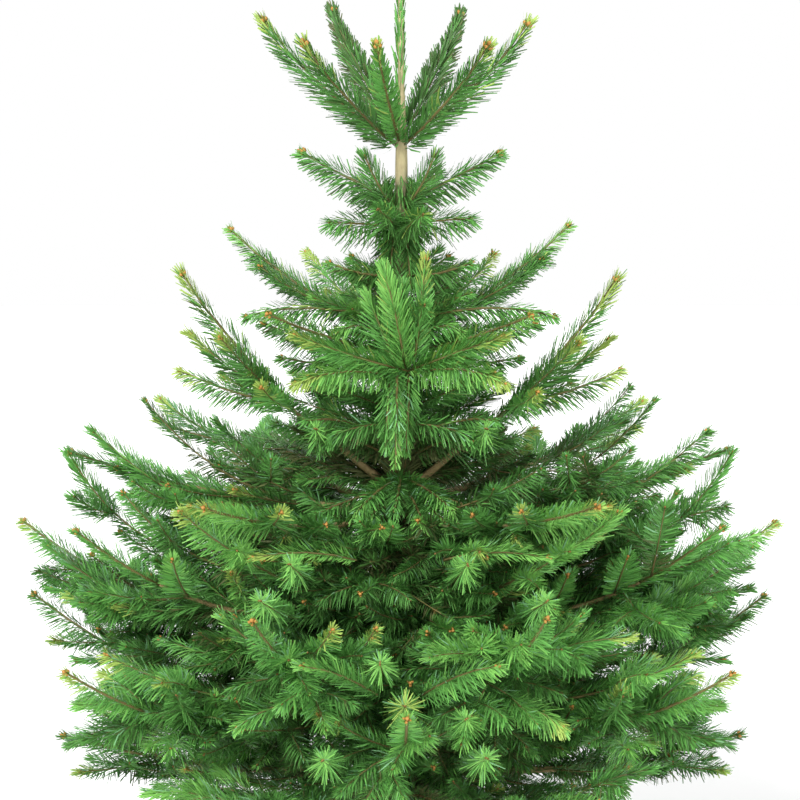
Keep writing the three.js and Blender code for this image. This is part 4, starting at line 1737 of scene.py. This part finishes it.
def tube(
    heap: Heap, line: Line, start: float, end: float, sides: int, rings: int, wobble: Callable | None = None
) -> None:
    """Adds a closed tapering tube along a line.

    Args:
        heap: where it goes.
        line: its centre.
        start: radius at the root.
        end: radius at the tip.
        sides: corners round it.
        rings: rings along it.
        wobble: optional factor on the radius by distance and angle.
    """
    distance = np.linspace(0, line.length, rings)
    centre = line.at(distance)
    ahead = line.heading(distance)
    steep = abs(ahead[:, 2]).mean() > 0.9
    flat = unit(np.cross(ahead, ACROSS if steep else UP))
    over = unit(np.cross(flat, ahead))
    angle = np.linspace(0, math.tau, sides, endpoint=False)
    radius = np.linspace(start, end, rings)[:, None] * np.ones((1, sides))
    if wobble is not None:
        radius = radius * wobble(distance[:, None], angle[None, :])
    sine, cosine = np.sin(angle)[None, :, None], np.cos(angle)[None, :, None]
    ring = centre[:, None, :] + radius[:, :, None] * (sine * flat[:, None, :] + cosine * over[:, None, :])
    corners = np.vstack([ring.reshape(-1, 3), centre[:1], centre[-1:] + ahead[-1:] * end])
    root, tip = rings * sides, rings * sides + 1
    belts = [belt(number * sides, sides) for number in range(rings - 1)]
    heap.add(corners, [*belts, fan(root, 0, sides, inward=True), fan(tip, root - sides, sides)])


@dataclass
class TwigWork:
    """The thin wood that carries the needles."""

    shoots: list[Shoot]

    def make(self) -> None:
        """The joined twigs."""
        heap = Heap()
        for shoot in self.shoots:
            if shoot.root_radius <= 0 or shoot.root_radius > 8 * MM:
                continue
            corners = 5 if shoot.line.length > 90 * MM else 4
            tube(heap, shoot.line, shoot.root_radius, shoot.tip_radius, corners, corners)
        piece = heap.make("twigs", TWIG_FINISH.make())
        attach(piece, "root")
        log.info("twigs: %d triangles", heap.triangles)


@dataclass
class BudWork:
    """Winter buds: one at the end of each shoot and a few round it, large on the leading shoots."""

    shoots: list[Shoot]
    length: float = 10.0 * MM
    radius: float = 3.8 * MM
    sides: int = 5
    seed: int = 5

    def _bud(self, heap: Heap, foot: np.ndarray, way: np.ndarray, size: float) -> None:
        """Adds one bud.

        Args:
            heap: where it goes.
            foot: its base.
            way: the unit direction it points.
            size: a factor on its size.
        """
        flat, over = square_to(way)
        angle = np.linspace(0, math.tau, self.sides, endpoint=False)
        around = np.sin(angle)[:, None] * flat + np.cos(angle)[:, None] * over
        rings = [
            foot + way * share * self.length * size + around * self.radius * size * full
            for share, full in ((0.2, 0.85), (0.66, 0.9))
        ]
        corners = np.vstack([foot[None], *rings, (foot + way * self.length * size)[None]])
        tip = len(corners) - 1
        caps = [fan(0, 1, self.sides, inward=True), fan(tip, tip - self.sides, self.sides)]
        heap.add(corners, [belt(1, self.sides), *caps])

    def make(self) -> None:
        """The joined buds, large and small apart."""
        random = np.random.default_rng(self.seed)
        large, small = Heap(), Heap()
        for shoot in self.shoots:
            if not shoot.buds:
                continue
            heap = large if shoot.buds > 3 else small
            tip = shoot.line.points[-1]
            ahead = shoot.line.heading(shoot.line.length)
            full = 1.15 if shoot.stout > 1.2 and shoot.buds == 5 else {5: 0.85, 4: 0.7}.get(shoot.buds, 0.44)
            self._bud(heap, tip, ahead, full)
            flat, over = square_to(ahead)
            first = random.uniform(0, math.tau)
            for number in range(shoot.buds - 1):
                angle = first + math.tau * number / (shoot.buds - 1)
                away = math.sin(angle) * flat + math.cos(angle) * over
                foot = tip - ahead * 2.0 * MM + away * shoot.tip_radius
                self._bud(heap, foot, unit(ahead + 0.85 * away), full * random.uniform(0.72, 0.95))
        for heap, finish in ((large, BUD_FINISH), (small, SMALL_BUD_FINISH)):
            piece = heap.make(finish.name, finish.make())
            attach(piece, "root")
            log.info("%s: %d triangles", finish.name, heap.triangles)


# ---------------------------------------------------------------- stem and limbs


@dataclass
class Stem:
    """The trunk with its bark's relief: shallow ridges, small swellings, and blisters."""

    rings: int = 440
    sides: int = 48
    levels: int = 40
    rays: int = 24
    blisters: int = 260
    seed: int = 23

    def _measured(self) -> tuple[Line, np.ndarray]:
        """The line through the middle of the frame's trunk, and its radius at each point of the line."""
        low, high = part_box("trunk")
        wood = Envelope("trunk")
        centres, radii = [], []
        for level in np.linspace(low[2], high[2], self.levels):
            safe = float(np.clip(level, low[2] + 0.5 * MM, high[2] - 1.0 * MM))
            hits = []
            for angle in np.linspace(0, math.tau, self.rays, endpoint=False):
                way = Vector((math.cos(angle), math.sin(angle), 0))
                hits.append(np.array(wood.tree.ray_cast(Vector((0, 0, safe)) + way * 0.2, -way)[0]))
            hits = np.array(hits)
            centre = (hits.max(axis=0) + hits.min(axis=0)) / 2
            centres.append(np.array([centre[0], centre[1], level]))
            radii.append(np.linalg.norm((hits - centre)[:, :2], axis=1).mean() * 1.015)
        return Line(np.array(centres)), np.array(radii)

    def make(self) -> None:
        """Builds the stem as one tube with relief."""
        line, measured = self._measured()
        random = np.random.default_rng(self.seed)
        ranges = ((0.02, 1.05), (0, math.tau), (2.0, 4.6))
        spots = np.stack([random.uniform(low, high, self.blisters) for low, high in ranges], axis=1)

        def relief(distance: np.ndarray, angle: np.ndarray) -> np.ndarray:
            """The wall's radius in metres, at a distance up the stem and an angle round it."""
            radius = np.interp(distance, line.marks, measured)
            age = np.clip(1.0 - distance / 1.1, 0.0, 1.0)
            ridges = np.sin(7 * angle + 3.1 * np.sin(9 * distance)) * np.sin(13 * angle - 17 * distance)
            knots = np.sin(61 * distance + 2 * angle) * np.sin(23 * distance - 3 * angle)
            wall = 0.9 * MM * age * ridges * 0.6 + 0.5 * MM * age * knots
            for up, around, size in spots:
                gap = np.angle(np.exp(1j * (angle - around))) * radius
                rise = (distance - up) * np.ones_like(angle)
                blister = np.exp(-((gap / (size * MM)) ** 2) - (rise / (0.62 * size * MM)) ** 2)
                wall = wall + 0.85 * MM * blister * np.clip(radius / (18 * MM), 0.25, 1.0)
            return radius + wall - 0.3 * MM

        heap = Heap()
        tube(heap, line, 1.0, 1.0, self.sides, self.rings, relief)
        heap.corners[0][-1] = line.points[-1]
        piece = heap.make("stem_bark", BarkFinish().make())
        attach(piece, "root")
        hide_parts("trunk")
        log.info("stem_bark: %d triangles", heap.triangles)


@dataclass
class Boughs:
    """Limbs with swollen roots, a ring at each year's fork and small bumps."""

    limbs: list[tuple[Line, float, float]]
    sides: int = 10
    step: float = 6 * MM
    year: float = 84 * MM

    def make(self) -> None:
        """Builds all limbs as one joined mesh."""
        heap = Heap()
        for number, (line, thick, slim) in enumerate(self.limbs):

            def relief(distance: np.ndarray, angle: np.ndarray, phase: float = 1.7 * number) -> np.ndarray:
                """A factor on the limb's radius."""
                collar = 0.5 * np.exp(-((distance / (16 * MM)) ** 2))
                off_ring = np.mod(distance + 0.01 * phase, self.year) - self.year / 2
                rings = 0.12 * np.exp(-((off_ring / (4.5 * MM)) ** 2))
                bumps = 0.05 * np.sin(3 * angle + 90 * distance + phase) * np.sin(160 * distance - 2 * angle)
                return 1 + collar + rings + bumps

            tube(heap, line, thick, slim, self.sides, max(int(line.length / self.step), 12), relief)
        piece = heap.make("limb_bark", LimbFinish("limb_bark").make())
        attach(piece, "root")
        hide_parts(*sorted(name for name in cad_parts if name.startswith("bough")))
        log.info("limb_bark: %d triangles", heap.triangles)


# ---------------------------------------------------------------- stand


@dataclass
class CrossStand:
    """Two halved planks with softened edges."""

    edge: float = 2.2 * MM

    def _plank(self, node: str, along: int) -> None:
        """One plank: the frame's solid, merged, with its edges rounded.

        Args:
            node: the plank's node.
            along: the axis it runs along.
        """
        mesh = bpy.data.meshes.new(node + "_wood")
        shape = bmesh.new()
        shape.from_mesh(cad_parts[node].data)
        bmesh.ops.remove_doubles(shape, verts=shape.verts, dist=JOIN)
        bmesh.ops.dissolve_limit(shape, angle_limit=math.radians(1), verts=shape.verts, edges=shape.edges)
        sharp = [e for e in shape.edges if len(e.link_faces) == 2 and e.calc_face_angle(0) > math.radians(20)]
        bmesh.ops.bevel(
            shape, geom=sharp, offset=self.edge, offset_type="OFFSET", segments=3, profile=0.5,
            affect="EDGES", material=-1,
        )
        bmesh.ops.triangulate(shape, faces=shape.faces)
        shape.to_mesh(mesh)
        shape.free()
        thing = shown(node + "_wood", mesh, PlankFinish(node + "_pine", along).make())
        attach(thing, "root")
        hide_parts(node)
        log.info("%s: %d triangles", thing.name, len(mesh.polygons))

    def make(self) -> None:
        """Both planks."""
        self._plank("plank_lower", 0)
        self._plank("plank_upper", 1)


# ---------------------------------------------------------------- studio


@dataclass
class Studio:
    """A pale floor, soft light from above and both sides, and the camera in front of the tree."""

    distance: float = 3.4
    height: float = 1.05
    aim_height: float = 0.802
    frame_width: float = 1.2
    sensor: float = 36.0
    ambient: float = 0.58
    floor_radius: float = 30.0
    suns: tuple[tuple[str, tuple[float, float, float], float, float], ...] = (
        ("key", (-1.5, -3.0, 2.9), 3.8, 20.0),
        ("fill", (2.2, -3.0, 1.5), 1.9, 40.0),
        ("top", (0.3, 0.6, 3.6), 0.8, 50.0),
        ("back", (0.4, 3.0, 1.9), 1.0, 50.0),
    )

    def _aimed(self, thing: bpy.types.Object, place: tuple[float, float, float]) -> None:
        """Puts a light or camera in the scene at a place and points it at the tree's middle."""
        bpy.context.scene.collection.objects.link(thing)
        thing.location = place
        thing.rotation_mode = "QUATERNION"
        thing.rotation_quaternion = (Vector((0, 0, self.aim_height)) - Vector(place)).to_track_quat("-Z", "Y")

    def _sun(self, name: str, place: tuple[float, float, float], strength: float, degrees: float) -> None:
        """One distant soft light that points at the tree's middle.

        Args:
            name: its name.
            place: where it shines from.
            strength: watts for each square metre.
            degrees: how wide it looks, which softens its shadows.
        """
        data = bpy.data.lights.new(name, "SUN")
        data.energy = strength
        data.angle = math.radians(degrees)
        self._aimed(bpy.data.objects.new(name, data), place)

    def _world(self) -> bpy.types.World:
        """White all round, and dimmer as light on the tree than it looks."""
        world = bpy.data.worlds.new("studio")
        world.use_nodes = True
        tree = world.node_tree
        dim = tree.nodes["Background"]
        dim.inputs["Color"].default_value = (1.0, 1.0, 1.0, 1.0)
        dim.inputs["Strength"].default_value = self.ambient
        white = tree.nodes.new("ShaderNodeBackground")
        white.inputs["Color"].default_value = (1.0, 1.0, 1.0, 1.0)
        mix = tree.nodes.new("ShaderNodeMixShader")
        rays = tree.nodes.new("ShaderNodeLightPath")
        tree.links.new(rays.outputs["Is Camera Ray"], mix.inputs["Fac"])
        tree.links.new(dim.outputs["Background"], mix.inputs[1])
        tree.links.new(white.outputs["Background"], mix.inputs[2])
        tree.links.new(mix.outputs["Shader"], tree.nodes["World Output"].inputs["Surface"])
        return world

    def make(self) -> None:
        """Sets up floor, world, lights and camera."""
        scene = bpy.context.scene
        scene.world = self._world()
        scene.view_settings.view_transform = "Standard"

        shape = bmesh.new()
        bmesh.ops.create_circle(shape, cap_ends=True, segments=96, radius=self.floor_radius)
        mesh = bpy.data.meshes.new("floor")
        shape.to_mesh(mesh)
        shape.free()
        floor = shown("floor", mesh, PlainFinish("floor", (0.92, 0.92, 0.92), 0.8, 0.2).make())

        for sun in self.suns:
            self._sun(*sun)

        data = bpy.data.cameras.new("camera")
        data.sensor_width = self.sensor
        away = math.hypot(self.distance, self.height - self.aim_height)
        data.lens = self.sensor * away / self.frame_width
        camera = bpy.data.objects.new("camera", data)
        self._aimed(camera, (0, -self.distance, self.height))
        scene.camera = camera


# ---------------------------------------------------------------- the whole tree


def main() -> None:
    """Builds the tree from the stem outwards, then the stand and the studio."""
    logging.basicConfig(level=logging.INFO, format="%(message)s")
    habits = Habits()
    kinds = ("mass", "top_shoot", "stem_shoot", "collar", "leader")
    foliage = sorted(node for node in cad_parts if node.startswith(kinds))
    growth = Grower(habits, foliage, seed=2024).grow()
    total = sum(shoot.line.length for shoot in growth.shoots)
    log.info("%d shoots, %.1f m, %d limbs", len(growth.shoots), total, len(growth.limbs))

    needles = NeedleWork(habits)
    for shoot in growth.shoots:
        needles.dress(shoot)
    pieces = needles.make()
    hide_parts(*foliage)
    TwigWork(growth.shoots).make()
    BudWork(growth.shoots).make()
    Stem().make()
    Boughs(growth.limbs).make()
    CrossStand().make()
    Studio().make()


if __name__ == "__main__":
    main()
